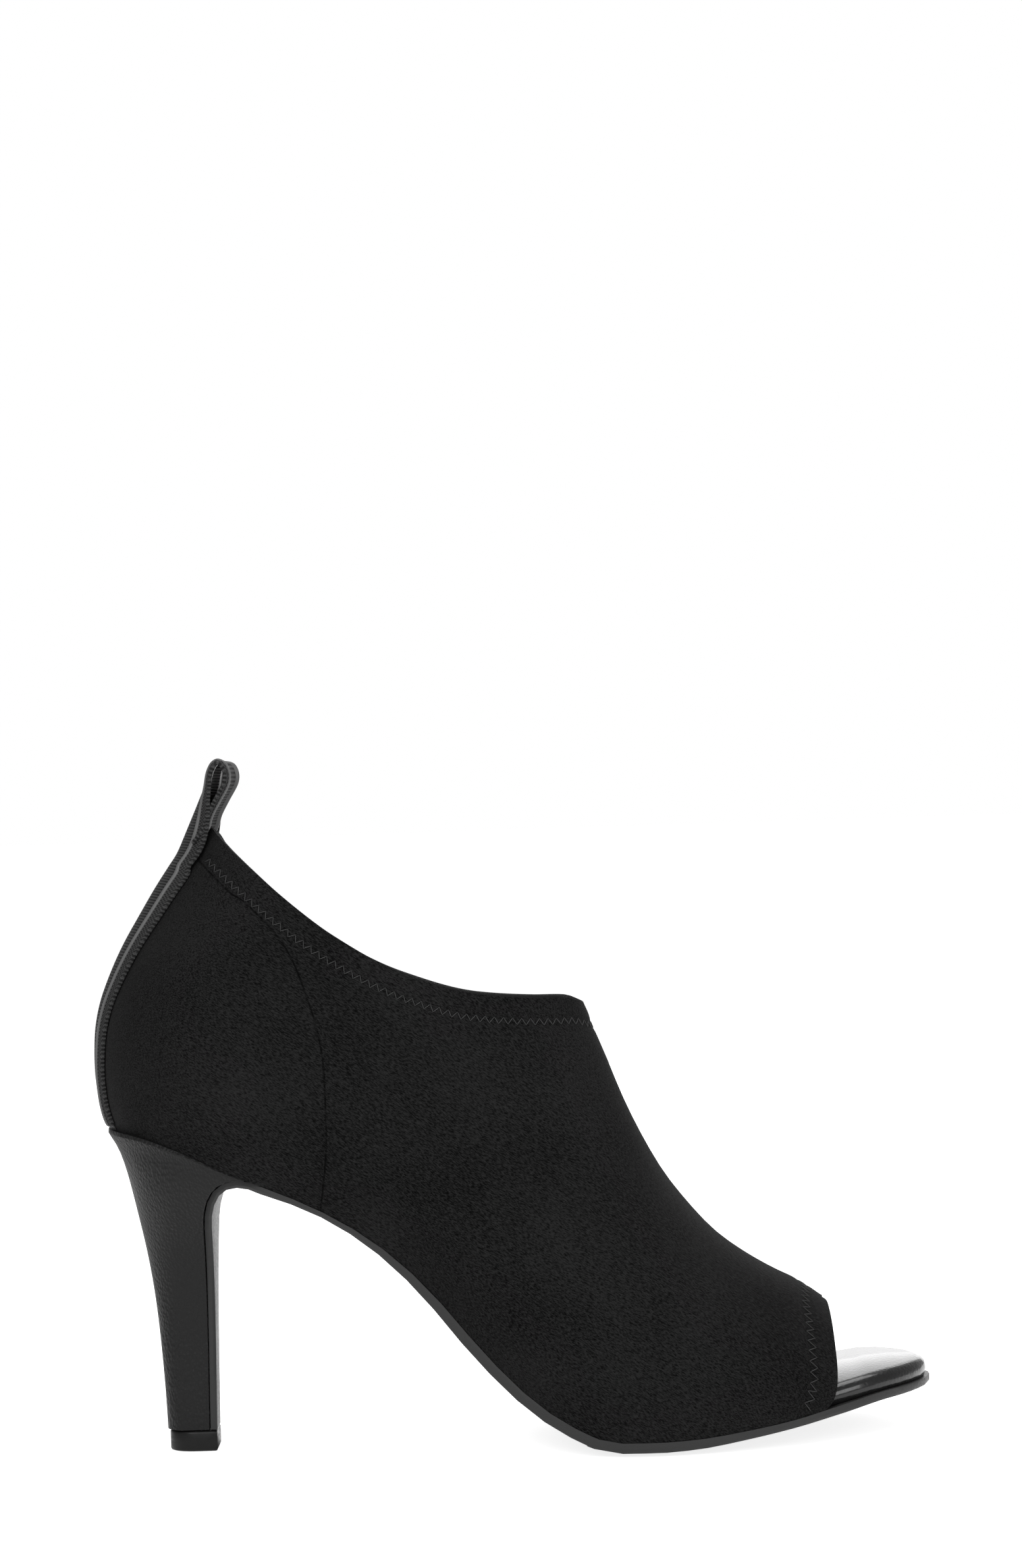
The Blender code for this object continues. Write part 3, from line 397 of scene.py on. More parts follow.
def upper_half(x, z, side):
    """Half the width of the upper on one side (-1 outer, 1 inner), at a place seen from the side."""
    share = along_sole(x)
    height = max(z - sole_top(x), 0.0)
    low = table_value(SOLE_OUTLINE, "along", "width", share) / 2 * toe_closing(x) - SOLE_MARGIN
    swell_column = "outer" if side < 0 else "inner"
    swell = table_value(UPPER_BODY, "along", swell_column, share) * BALL_WIDTH
    belly = table_value(UPPER_BODY, "along", "belly", share) * COLLAR_HEIGHT
    ankle = table_value(UPPER_BODY, "along", "ankle", share) * COLLAR_HEIGHT
    crown = table_value(UPPER_BODY, "along", "crown", share) * BALL_WIDTH
    body = low + swell * (1 - (1 - min(height / belly, 1.0)) ** 2)
    body = blend(body, COLLAR_WIDTH / 2, eased((height - belly) / (ankle - belly)))
    pointed = blend(HEEL_ROUND, COLLAR_ROUND, eased((z - SEAT_HEIGHT) / (COLLAR_HEIGHT - SEAT_HEIGHT)))
    back = rounded((x - back_line(z)) / pointed)
    return body * back * rounded(CREST_EXTENDED.distance(x, z) / crown)


# %% The edges as tracks, and the net of lines between them
def peep_track():
    """The upper's lower edge from the back of the seat to the toe, then up the toe opening."""
    foot_x = SEAT_BACK + PEEP_REACH - PEEP_FOOT
    start_x = back_line(SEAT_HEIGHT + SEAM)
    points = []
    steps = 96
    for i in range(steps):
        x = blend(start_x, foot_x, i / steps)
        points.append((x, over_sole(x, SEAM)))
    foot_z = over_sole(foot_x, SEAM)
    rise = 24
    for i in range(rise + 1):
        share = i / rise
        reach = table_value(PEEP_CURVE, "height", "reach", share)
        points.append((foot_x + reach * PEEP_FOOT, blend(foot_z, PEEP_HEIGHT, share)))
    return Track(points)


def collar_track():
    """The collar's edge from its back to its front."""
    points = []
    steps = 60
    for i in range(steps + 1):
        share = i / steps
        drop = table_value(COLLAR_CURVE, "along", "drop", share)
        x = SEAT_BACK + blend(COLLAR_LEAN, THROAT_REACH, share)
        points.append((x, blend(COLLAR_HEIGHT, THROAT_HEIGHT, drop)))
    return Track(points)


def back_track():
    """The upper's back edge from the seat to the collar."""
    steps = 48
    base = SEAT_HEIGHT + SEAM
    heights = [blend(base, COLLAR_HEIGHT, i / steps) for i in range(steps + 1)]
    return Track([(back_line(z), z) for z in heights])


BACK = back_track()
COLLAR = collar_track()
LOWER_EDGE = peep_track()


def side_point(across, up):
    """A point of the upper seen from the side: across runs from back to crest, up from sole to collar."""
    low, high = LOWER_EDGE.at(across), COLLAR.at(across**COLLAR_SHIFT)
    left, right = BACK.at(up), CREST.at(1 - up**CREST_SHIFT)
    edges = low * (1 - up) + high * up + left * (1 - across) + right * across
    corners = LOWER_EDGE.at(0) * (1 - across) * (1 - up) + LOWER_EDGE.at(1) * across * (1 - up)
    corners += COLLAR.at(0) * (1 - across) * up + COLLAR.at(1) * across * up
    return edges - corners


def collar_sink(across):
    """How far the collar's inner side lies under its outer side, at a column of the upper."""
    along = (COLLAR.at(across**COLLAR_SHIFT).x - SEAT_BACK - COLLAR_LEAN) / (THROAT_REACH - COLLAR_LEAN)
    return MEDIAL_DROP * table_value(COLLAR_CURVE, "along", "sink", along)


print("collar", round(COLLAR.length * 1000), "mm long on each side")

# %% [markdown]
# The upper of this boot is a stretch fabric with a suede face, drawn tight over the last. One
# could sculpt it or let cloth shrink over a form. Here a flat grid is wrapped round the last, because the
# photograph shows a taut, even skin, and a grid gives a stitch or a crease an exact place. Along the
# vamp's crest the columns are laid on a soft arch, so that no fold shows there.

# %% Wrap a grid round the last
AROUND = 320                 # columns round the upper
CLIMB = 84                   # rows from the sole's edge to the collar
CLIMB_SAMPLES = 24
MERGE_REACH = 1e-6           # points closer than this become one
CREST_SPAN = 8               # columns on each side of the crest that arch over it
EDGE_CROWDING = 0.3          # how much closer the rows lie near both edges


def climb_track(share):
    """The line from the sole's edge up to the collar, at a share of the way from back to crest."""
    return Track([side_point(share, k / CLIMB_SAMPLES) for k in range(CLIMB_SAMPLES + 1)])


def upper_point(share, side, climb, along):
    """A point of the upper's face, this far up its column. The side is -1 outer or 1 inner."""
    point = climb.at(along / climb.length)
    half = 0.0 if share in (0.0, 1.0) else upper_half(point.x, point.z, side)
    sink = collar_sink(share) * max(side, 0) * along / climb.length
    return Vector((point.x, upper_centre(point.x, point.z) + side * half, point.z - sink))


def column_place(column):
    """The share from back to crest of a column, and its side."""
    from_back = 1 - abs(1 - 2 * column / AROUND)
    return (1 - math.cos(math.pi * from_back)) / 2, -1 if column <= AROUND // 2 else 1


def row_level(row):
    """How far up its column a row lies, as a share."""
    level = row / CLIMB
    return blend(level, (1 - math.cos(math.pi * level)) / 2, EDGE_CROWDING)


def arch_over_crest(grid):
    """Lays the columns beside the crest on a soft arch from side to side."""
    middle = AROUND // 2
    for row in range(CLIMB + 1):
        crest = grid[middle, row].co.copy()
        for way in (-1, 1):
            foot = grid[middle + way * CREST_SPAN, row].co.copy()
            for step in range(1, CREST_SPAN):
                part = step / CREST_SPAN
                point = crest.lerp(foot, part**2)
                point.y = blend(crest.y, foot.y, part)
                grid[middle + way * step, row].co = point


def wrapped_grid():
    """The upper's face as a closed sheet, and each vertex's depth under the collar's edge."""
    bm = bmesh.new()
    bmesh.ops.create_grid(bm, x_segments=AROUND, y_segments=CLIMB, size=0.5)
    bm.verts.index_update()
    depths, grid = {}, {}
    climbs = [climb_track(column_place(column)[0]) for column in range(AROUND + 1)]
    for vertex in bm.verts:
        column = round((vertex.co.x + 0.5) * AROUND)
        row = round((vertex.co.y + 0.5) * CLIMB)
        share, side = column_place(column)
        climb = climbs[column]
        along = climb.length * row_level(row)
        vertex.co = upper_point(share, side, climb, along)
        depths[vertex.index] = climb.length - along
        grid[column, row] = vertex
    arch_over_crest(grid)
    return bm, depths


sheet, sheet_depths = wrapped_grid()
print("upper:", len(sheet.verts), "points on its face")

# %% [markdown]
# Two lines cross the upper: the seam between quarter and vamp, and the hem's stitching along the
# collar and the toe opening. The relief of each point of the sheet depends on how far it lies from them,
# and the sheet keeps its distance from the seam, so that the suede's own bump can follow it exactly.

# %% Where the seam and the hems run
SeamRow = namedtuple("SeamRow", "x z")
SEAM_UNDER_COLLAR = 0.0086   # the seam starts this far under the collar's edge
SEAM_TURN = (0.02, 0.08, 0.14)   # shares of the collar along which the seam still follows it
SEAM_LINE = (
    SeamRow(0.0189, 0.1515),
    SeamRow(0.0225, 0.1482),
    SeamRow(0.0258, 0.1447),
    SeamRow(0.0292, 0.1404),
    SeamRow(0.0320, 0.1357),
    SeamRow(0.0343, 0.1301),
    SeamRow(0.0364, 0.1239),
    SeamRow(0.0382, 0.1183),
    SeamRow(0.0395, 0.1117),
    SeamRow(0.0403, 0.1045),
    SeamRow(0.0405, 0.0891),
    SeamRow(0.0399, 0.0802),
    SeamRow(0.0379, 0.0660),
)
COLLAR_STITCH = 0.0068       # the middle of the collar's stitching under its edge
TOE_STITCH = 0.0066          # the same behind the toe opening
EDGE_LIFT = 0.0008           # the toe opening's edge leaves the sole here
CURVE_STEPS = 12


def soft_track(points):
    """A soft curve through the given points."""
    dense = []
    ends = [points[0] * 2 - points[1]] + points + [points[-1] * 2 - points[-2]]
    for a, b, c, d in zip(ends, ends[1:], ends[2:], ends[3:]):
        for k in range(CURVE_STEPS):
            t = k / CURVE_STEPS
            bend = (c - a) * t + (a * 2 - b * 5 + c * 4 - d) * t * t + (b * 3 - a - c * 3 + d) * t**3
            dense.append(b + bend / 2)
    return Track([(point.x, point.z) for point in dense + [points[-1]]])


seam_points = [COLLAR.offset(share, -SEAM_UNDER_COLLAR) for share in SEAM_TURN]
seam_points += [Vector((row.x, 0.0, row.z)) for row in SEAM_LINE]
QUARTER_SEAM = soft_track(seam_points)
on_sole = [i for i, point in enumerate(LOWER_EDGE.points) if point.z < over_sole(point.x, EDGE_LIFT)]
TOE_EDGE = Track(LOWER_EDGE.points[max(on_sole):])


def seam_side(x, z):
    """How far a point lies from the quarter seam: more than 0 on the vamp, less on the quarter."""
    points = QUARTER_SEAM.points
    crossing = points[-1].x
    for above, below in zip(points, points[1:]):
        if above.z >= z >= below.z:
            crossing = blend(above.x, below.x, (above.z - z) / (above.z - below.z))
            break
    return math.copysign(QUARTER_SEAM.distance(x, z), x - crossing)


print("quarter seam", round(QUARTER_SEAM.length * 1000), "mm")
print("toe opening", round(TOE_EDGE.length * 1000), "mm")

# %% [markdown]
# Creases in tight fabric are soft and few. Each is a short line with a width and a height: less
# than 0 is a trough and more a ridge. They are placed where the foot's bend leaves slack: over the
# ankle, across the instep and behind the ball.

# %% Relief of the creases, the stitching and the seam
CreaseRow = namedtuple("CreaseRow", "x z to_x to_z width height")
CREASES = (
    CreaseRow(-0.004, 0.128, 0.030, 0.104, 0.0050, -0.00030),
    CreaseRow(0.055, 0.116, 0.088, 0.096, 0.0060, -0.00035),
    CreaseRow(0.100, 0.052, 0.128, 0.030, 0.0060, -0.00030),
)
STITCH_TROUGH = 0.00030      # how deep the stitching and the seam pull the fabric in, and how wide
STITCH_SPREAD = 0.0015
SEAM_VALLEY = 0.00028
SEAM_SPREAD = 0.0013
TOE_CORNER = Vector((SEAT_BACK + PEEP_REACH, CREST_DRIFT + sole_centre(PEEP_REACH), PEEP_HEIGHT))
CORNER_EASE = Vector((-0.0013, 0.0, -0.0007))
CORNER_SPREAD = 0.0055       # the toe opening's top is pulled round over this reach
HEM_PUFF = 0.00016           # how far the folded hem swells between its stitching and its edge


def hump(distance, width):
    """A soft bell of height 1 over a line."""
    return math.exp(-(distance / width) ** 2)


def crease_relief(x, z):
    """How far the creases raise or sink the fabric at a place seen from the side."""
    total = 0.0
    for crease in CREASES:
        start, end = Vector((crease.x, crease.z)), Vector((crease.to_x, crease.to_z))
        run = end - start
        part = min(max((Vector((x, z)) - start).dot(run) / run.length_squared, 0.0), 1.0)
        away = (Vector((x, z)) - start - run * part).length
        total += crease.height * hump(away, crease.width)
    return total


def hem_relief(depth, stitch):
    """The trough under a row of stitching and the puff of the hem beside it."""
    middle_height = 0.25
    puff = HEM_PUFF * eased(depth / stitch) * eased((stitch - depth) / stitch) / middle_height
    return puff - STITCH_TROUGH * hump(depth - stitch, STITCH_SPREAD)


def raise_relief(bm, depths):
    """Moves the sheet along its normals, and keeps the distance from the seam for its material."""
    seam_layer = bm.verts.layers.float.new("seam")
    thick = bm.verts.layers.deform.verify()
    bm.normal_update()
    for vertex in bm.verts:
        depth = depths[vertex.index]
        x, z = vertex.co.x, vertex.co.z
        toe = TOE_EDGE.distance(x, z)
        seam = seam_side(x, z)
        vertex[seam_layer] = seam
        relief = crease_relief(x, z) - SEAM_VALLEY * hump(seam, SEAM_SPREAD)
        relief += hem_relief(depth, COLLAR_STITCH) + hem_relief(toe, TOE_STITCH)
        hem = max(1 - eased((depth - COLLAR_HEM) / WALL), 1 - eased((toe - PEEP_HEM) / WALL))
        vertex[thick][0] = blend(WALL, HEM_WALL, hem) / HEM_WALL
        vertex.co += vertex.normal * relief
        vertex.co += CORNER_EASE * hump((vertex.co - TOE_CORNER).length, CORNER_SPREAD)


raise_relief(sheet, sheet_depths)
bmesh.ops.remove_doubles(sheet, verts=sheet.verts, dist=MERGE_REACH)
sheet.normal_update()
upper_face = BVHTree.FromBMesh(sheet)
print("creases:", len(CREASES))

# %% [markdown]
# Materials are built from procedural nodes only. A small class keeps their making short: it adds
# a node, links what is a socket and sets what is a number. Patterns read Object coordinates, which are
# metres here, so a noise of scale 1 / 0.001 has grains of a millimetre.

# %% A short way to build a material
class Finish:
    """A material being made: a Principled shader and the nodes in front of it."""

    def __init__(self, name, colour, roughness, **sockets):
        self.material = bpy.data.materials.new(name)
        self.material.use_nodes = True
        self.nodes = self.material.node_tree.nodes
        self.links = self.material.node_tree.links
        self.shader = self.nodes["Principled BSDF"]
        self.set(self.shader, "Base Color", (*colour, 1.0))
        self.set(self.shader, "Roughness", roughness)
        for socket, value in sockets.items():
            self.set(self.shader, socket.replace("_", " "), value)

    def set(self, node, socket, value):
        """Links a socket to a node's input, or sets the input to a plain value."""
        if isinstance(value, bpy.types.NodeSocket):
            self.links.new(value, node.inputs[socket])
        else:
            node.inputs[socket].default_value = value

    def node(self, kind, output=0, **sockets):
        """Adds a node, fills its inputs by name and returns one of its outputs."""
        made = self.nodes.new(kind)
        for socket, value in sockets.items():
            self.set(made, socket.replace("_", " "), value)
        return made.outputs[output]

    def math(self, operation, *values):
        """A sum, product or other simple operation on sockets and numbers."""
        made = self.nodes.new("ShaderNodeMath")
        made.operation = operation
        for index, value in enumerate(values):
            self.set(made, index, value)
        return made.outputs[0]

    def attribute(self, name):
        """A number that the mesh keeps for each vertex."""
        made = self.nodes.new("ShaderNodeAttribute")
        made.attribute_name = name
        return made.outputs["Fac"]

    def place(self, turn=(0.0, 0.0, 0.0), grain=(1.0, 1.0, 1.0)):
        """Object coordinates, turned, with grains of the given sizes in metres."""
        coordinates = self.nodes.new("ShaderNodeTexCoord").outputs["Object"]
        made = self.nodes.new("ShaderNodeMapping")
        made.vector_type = "TEXTURE"
        self.set(made, "Vector", coordinates)
        self.set(made, "Rotation", turn)
        self.set(made, "Scale", grain)
        return made.outputs[0]

    def noise(self, vector, detail=2.0, roughness=0.5):
        """A soft noise whose grains are one unit of the vector."""
        return self.node("ShaderNodeTexNoise", Vector=vector, Scale=1.0, Detail=detail, Roughness=roughness)

    def cells(self, vector, smooth=0.4):
        """The distance from the borders of leather-like cells, one unit of the vector across."""
        made = self.nodes.new("ShaderNodeTexVoronoi")
        made.feature = "SMOOTH_F1"
        self.set(made, "Vector", vector)
        self.set(made, "Scale", 1.0)
        self.set(made, "Smoothness", smooth)
        return made.outputs["Distance"]

    def span(self, value, start, end, low=0.0, high=1.0):
        """Turns a range of values into another one, with soft ends."""
        made = self.nodes.new("ShaderNodeMapRange")
        made.interpolation_type = "SMOOTHSTEP"
        inputs = {"Value": value, "From Min": start, "From Max": end, "To Min": low, "To Max": high}
        for socket, number in inputs.items():
            self.set(made, socket, number)
        return made.outputs[0]

    def between(self, value, dark, light):
        """A colour between two, by a value from 0 to 1."""
        made = self.nodes.new("ShaderNodeMix")
        made.data_type = "RGBA"
        self.set(made, 0, value)
        for socket, colour in ((6, dark), (7, light)):
            if not isinstance(colour, bpy.types.NodeSocket):
                colour = (*colour, 1.0)
            self.set(made, socket, colour)
        return made.outputs[2]

    def bump(self, height, depth, strength=1.0, under=None):
        """A relief of this depth in metres, over another one where given."""
        sockets = {"Height": height, "Distance": depth, "Strength": strength}
        if under is not None:
            sockets["Normal"] = under
        return self.node("ShaderNodeBump", **sockets)

    def finish(self, colour=None, roughness=None, normal=None):
        """Links what varies over the surface, and returns the material."""
        for socket, value in (("Base Color", colour), ("Roughness", roughness), ("Normal", normal)):
            if value is not None:
                self.set(self.shader, socket, value)
        return self.material


def black(level):
    """A neutral dark colour."""
    return (level, level, level)


# %% [markdown]
# Microsuede is a mat of very short fibres: almost no gloss, a faint glow where it turns
# away, and a nap that lies one way. Its lines run down towards the toe, about a quarter of a millimetre
# apart. The hand leaves lighter and darker patches in it, so a slow noise changes the tone. A
# picture of suede could give all this, but it would have to be unwrapped and would blur close by, while
# noises in metres stay sharp. The seam is a narrow groove whose quarter side stands a little higher. Its
# colour is also painted darker along the groove as painted shade, and the hidden stitches break that
# painted shade into short dark dashes.

# %% The suede and its lining
NAP_TURN = math.radians(33)
NAP_LENGTH = 0.0010
NAP_WIDTH = 0.00025
NAP_DEPTH = 0.00022
NAP_SHARE = 0.85             # how much of the tone comes from the nap, and how much from the patches
PATCH_SHARE = 0.16
TONES = (0.34, 0.66)         # the noise's range between the darkest and the lightest tone
PATCH = 0.030
FIBRE = 0.0003
GROOVE = 0.00042             # half the width of the seam's groove
GROOVE_SHARE = 0.9           # how deep the groove is, as a share of the step beside it
PUCKER = 0.0014              # how far apart the seam's hidden stitches pucker it


def suede_finish():
    """Black microsuede with its nap, the seam's groove with painted shade in it, and the puckers of its
    stitches.
    """
    soft = {"Specular_IOR_Level": 0.04, "Sheen_Weight": 0.022, "Sheen_Roughness": 0.4}
    suede = Finish("suede", black(0.006), 0.95, **soft)
    nap = suede.noise(suede.place((0.0, NAP_TURN, 0.0), (NAP_LENGTH, NAP_WIDTH, NAP_WIDTH)), 3.0, 0.6)
    fibre = suede.noise(suede.place(grain=(FIBRE, FIBRE, FIBRE)), 2.0)
    patch = suede.noise(suede.place(grain=(PATCH, PATCH, PATCH)), 1.0)
    patch = suede.math("MULTIPLY", patch, PATCH_SHARE)
    tone = suede.math("ADD", suede.math("MULTIPLY", nap, NAP_SHARE), patch)
    seam = suede.attribute("seam")
    # groove marks the seam's groove; it drives the groove's bump and its painted shade
    groove = suede.math("SUBTRACT", 1.0, suede.span(suede.math("ABSOLUTE", seam), 0.0, GROOVE))
    pucker = suede.noise(suede.place(grain=(PUCKER, PUCKER, PUCKER)), 0.0)
    groove = suede.math("MULTIPLY", groove, suede.span(pucker, 0.35, 0.60, 0.45, 1.0))
    lip = suede.span(seam, -GROOVE * 3, GROOVE, 1.0, 0.0)
    step = suede.math("SUBTRACT", lip, suede.math("MULTIPLY", groove, GROOVE_SHARE))
    # The tone is multiplied down along the groove: painted shade in the seam, broken into short dashes by
    # the puckers
    tone_and_groove_shade = suede.math("MULTIPLY", suede.span(tone, *TONES), suede.math("SUBTRACT", 1.0, groove))
    colour = suede.between(tone_and_groove_shade, black(0.0007), black(0.0125))
    relief = suede.bump(step, 0.0003, 0.8)
    relief = suede.bump(nap, NAP_DEPTH, 0.75, relief)
    relief = suede.bump(fibre, 0.0001, 0.5, relief)
    return suede.finish(colour=colour, normal=relief)


def lining_finish():
    """A plain black knit inside the upper."""
    lining = Finish("lining", black(0.012), 0.85, Specular_IOR_Level=0.2, Sheen_Weight=0.1)
    knit = lining.noise(lining.place(grain=(0.0005, 0.0005, 0.0009)), 1.0)
    return lining.finish(normal=lining.bump(knit, 0.0002, 0.5))


suede_material, lining_material = suede_finish(), lining_finish()
print("suede nap", NAP_WIDTH * 1000, "mm apart")

# %% Give the sheet its wall
RIM_ROUND = 0.0005
ALL_SMOOTH = 3.1             # no edge under this angle, in radians, is kept sharp
SHARP = math.radians(40)     # a hard piece's edges over this angle get a rounding


def new_piece(name, bm, *materials, smooth_angle=0.9):
    """A named object at the origin from a bmesh, smooth but for its sharp edges."""
    mesh = bpy.data.meshes.new(name)
    bm.to_mesh(mesh)
    bm.free()
    for material in materials:
        mesh.materials.append(material)
    mesh.shade_smooth()
    mesh.set_sharp_from_angle(angle=smooth_angle)
    piece = bpy.data.objects.new(name, mesh)
    bpy.context.scene.collection.objects.link(piece)
    return piece


def walled(piece, thickness, offset, group, lining_offset=0):
    """Gives a sheet its thickness, which a vertex group varies."""
    piece.vertex_groups.new(name=group)
    wall = piece.modifiers.new("wall", "SOLIDIFY")
    wall.thickness = thickness
    wall.offset = offset
    wall.vertex_group = group
    wall.use_rim = True
    wall.material_offset = lining_offset


def rounded_edges(piece, width, segments, angle):
    """Rounds a piece's sharp edges."""
    edge = piece.modifiers.new("edges", "BEVEL")
    edge.width = width
    edge.segments = segments
    edge.limit_method = "ANGLE"
    edge.angle_limit = angle


def standing(piece, slot, *nodes):
    """Lets a finished piece ride on the shoe, and stand for the solids that it replaces."""
    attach(piece, "root")
    if nodes:
        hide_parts(*nodes)
    corners = piece.bound_box[0], piece.bound_box[6]
    low, high = [[round(1000 * value) for value in corner] for corner in corners]
    print(piece.name, "stands between", low, "and", high, "mm")


upper = new_piece("suede_upper", sheet, suede_material, lining_material, smooth_angle=ALL_SMOOTH)
walled(upper, HEM_WALL, -1.0, "wall", lining_offset=1)
rounded_edges(upper, RIM_ROUND, 3, math.radians(50))
standing(upper, "suede", "upper")

# %% [markdown]
# Both hems are held by a zigzag stitch, because a straight one would snap when the foot
# stretches the edge. Each stitch is a short thread between two needle holes. A curve could follow the
# whole zigzag, but a thread that swells between its holes and dives into them looks sewn, so every
# stitch is a small stretched ball, and all of one line are joined in one mesh.

# %% Sew the zigzags
COLLAR_PITCH = 0.0026        # from one point of the zigzag to the next one on the same side
COLLAR_SWING = 0.0018
TOE_PITCH = 0.0032
TOE_SWING = 0.0026
THREAD = 0.00014             # the thread's radius
THREAD_LIFT = 0.6            # how far its middle stands over the fabric, in radii
THREAD_SIDES = 6
LINE_SAMPLES = 220           # points along the collar's stitching
TOE_SAMPLES = 40             # the same along the toe's, up one side
TOE_TURN_SAMPLES = 8         # and over the vamp
TOE_LINE_FOOT = Vector((0.0022, 0.0, 0.0062))   # from the lowest of them down to the sole


def thread_finish():
    """Twisted black sewing thread, a little glossier than the suede."""
    thread = Finish("thread", black(0.016), 0.50, Specular_IOR_Level=0.30)
    twist = thread.noise(thread.place(grain=(0.00012, 0.00012, 0.0004)), 1.0)
    return thread.finish(normal=thread.bump(twist, 0.00006, 0.6))


def evenly(path, step):
    """Points at even steps along a line of points in space."""
    points = [path[0]]
    left = step
    for a, b in zip(path, path[1:]):
        length = (b - a).length
        done = 0.0
        while length - done >= left:
            done += left
            points.append(a.lerp(b, done / length))
            left = step
        left -= length - done
    return points


def on_face(point):
    """The nearest point of the upper's face, and the way out of it."""
    location, normal, _, _ = upper_face.find_nearest(point)
    return location, normal


def add_stitch(bm, start, end, normal):
    """One thread between two needle holes: a ball stretched along the stitch."""
    run = end - start
    along = run.normalized()
    across = normal.cross(along).normalized()
    turn = Matrix((across, along.cross(across), along)).transposed().to_4x4()
    size = Matrix.Diagonal((THREAD, THREAD, run.length / 2 + THREAD, 1.0))
    middle = Matrix.Translation((start + end) / 2 + normal * THREAD * THREAD_LIFT)
    ball = {"u_segments": THREAD_SIDES, "v_segments": THREAD_SIDES, "radius": 1.0}
    bmesh.ops.create_uvsphere(bm, matrix=middle @ turn @ size, **ball)


def zigzag(name, path, pitch, swing, material):
    """A line of zigzag stitches along a path on the upper."""
    bm = bmesh.new()
    holes = []
    points = evenly(path, pitch / 2)
    for index in range(1, len(points) - 1):
        location, normal = on_face(points[index])
        across = normal.cross(points[index + 1] - points[index - 1]).normalized()
        hole, _ = on_face(location + across * swing / 2 * (-1) ** index)
        holes.append((hole, normal))
    for (start, normal), (end, _) in zip(holes, holes[1:]):
        add_stitch(bm, start, end, normal)
    piece = new_piece(name, bm, material, smooth_angle=ALL_SMOOTH)
    standing(piece, "suede")
    print(name, "has", len(holes) - 1, "stitches")


def collar_line():
    """The path of the collar's stitching, from the tape round the front and back to the tape."""
    path = []
    for k in range(LINE_SAMPLES + 1):
        share, side = column_place(AROUND * k / LINE_SAMPLES)
        climb = climb_track(share)
        point = upper_point(share, side, climb, climb.length - COLLAR_STITCH)
        beside_tape = point.x > SEAT_BACK + COLLAR_LEAN or abs(point.y) > TAPE_WIDTH / 2
        if beside_tape:
            path.append(point)
    return path


def toe_line():
    """The path of the toe's stitching, from the sole over the vamp and down to the sole again."""
    side_view = [TOE_EDGE.offset(k / TOE_SAMPLES, TOE_STITCH) for k in range(1, TOE_SAMPLES)]
    side_view.insert(0, side_view[0] - TOE_LINE_FOOT)
    top = TOE_EDGE.at(1.0)
    near_top = 0.97
    crest_run = CREST.at(near_top) - top
    crest_angle = math.atan2(crest_run.z, crest_run.x)
    for k in range(TOE_TURN_SAMPLES + 1):
        angle = blend(math.pi, crest_angle, k / TOE_TURN_SAMPLES)
        side_view.append(top + Vector((math.cos(angle), 0.0, math.sin(angle))) * TOE_STITCH)
    outer = []
    inner = []
    for point in side_view:
        centre = upper_centre(point.x, point.z)
        outer.append(Vector((point.x, centre - upper_half(point.x, point.z, -1), point.z)))
        inner.append(Vector((point.x, centre + upper_half(point.x, point.z, 1), point.z)))
    return outer + inner[::-1]


thread_material = thread_finish()
zigzag("collar_stitching", collar_line(), COLLAR_PITCH, COLLAR_SWING, thread_material)
zigzag("toe_stitching", toe_line(), TOE_PITCH, TOE_SWING, thread_material)

# %% [markdown]
# A woven tape covers the back seam and folds over into a pull loop. It is one long strip, so it
# is one grid: a row across it stands on the upper up to the lap, and hangs on the loop's middle line
# from there. Along each side a smooth ridge parts the ribbed middle from the knitted border,
# and the wall's thickness carries that, because it is the same all along the tape. The ankle is narrow
# at the lap, so the tape folds round it like a roof, and it lies flat again past the loop's top.

# %% Lay the tape up the back and round its loop
WeaveRow = namedtuple("WeaveRow", "out thick")
WEAVE = (
    WeaveRow(1.000, 0.30),
    WeaveRow(0.975, 0.50),
    WeaveRow(0.880, 0.56),
    WeaveRow(0.775, 0.54),
    WeaveRow(0.740, 0.86),
    WeaveRow(0.695, 1.00),
    WeaveRow(0.650, 0.86),
    WeaveRow(0.610, 0.40),
    WeaveRow(0.570, 0.74),
    WeaveRow(0.300, 0.84),
)
WEAVE_CENTRE = 0.86          # the thickness in the middle, as a share of that at the ridges
WEAVE_DEPTH = 0.0021         # the tape's thickness at its ridges
TAPE_CLIMBS = 22             # rows up the back, and below along the loop
LOOP_STEPS = 44
LOOP_HANG = 0.985            # where the inner strand meets the upper's back, as a share of it
HALVINGS = 20
LAP_SPREAD = 0.11            # how much wider the tape lies at the lap than at its foot
FAR_DROOP = 0.0018           # how far the loop's far side hangs forward
LOOP_BENT = 0.14             # the tape keeps its bend across up to this share of the loop
LOOP_FLAT = 0.52             # and lies flat beyond this one
TAPE_ROOF = 0.0020           # how far the tape's middle stands out like a roof at the lap


def back_surface(y, z):
    """The upper's outer face near its back: how far forward it lies at a place across."""
    low, high = back_line(z), back_line(z) + HEEL_ROUND
    for _ in range(HALVINGS):
        middle = (low + high) / 2
        if upper_half(middle, z, -1) < abs(y):
            low = middle
        else:
            high = middle
    return (low + high) / 2


def tape_columns():
    """Places across the tape from its inner side to its outer side, each with its thickness."""
    inner = [(row.out * TAPE_WIDTH / 2, row.thick) for row in WEAVE]
    return inner + [(0.0, WEAVE_CENTRE)] + [(-y, thick) for y, thick in inner[::-1]]


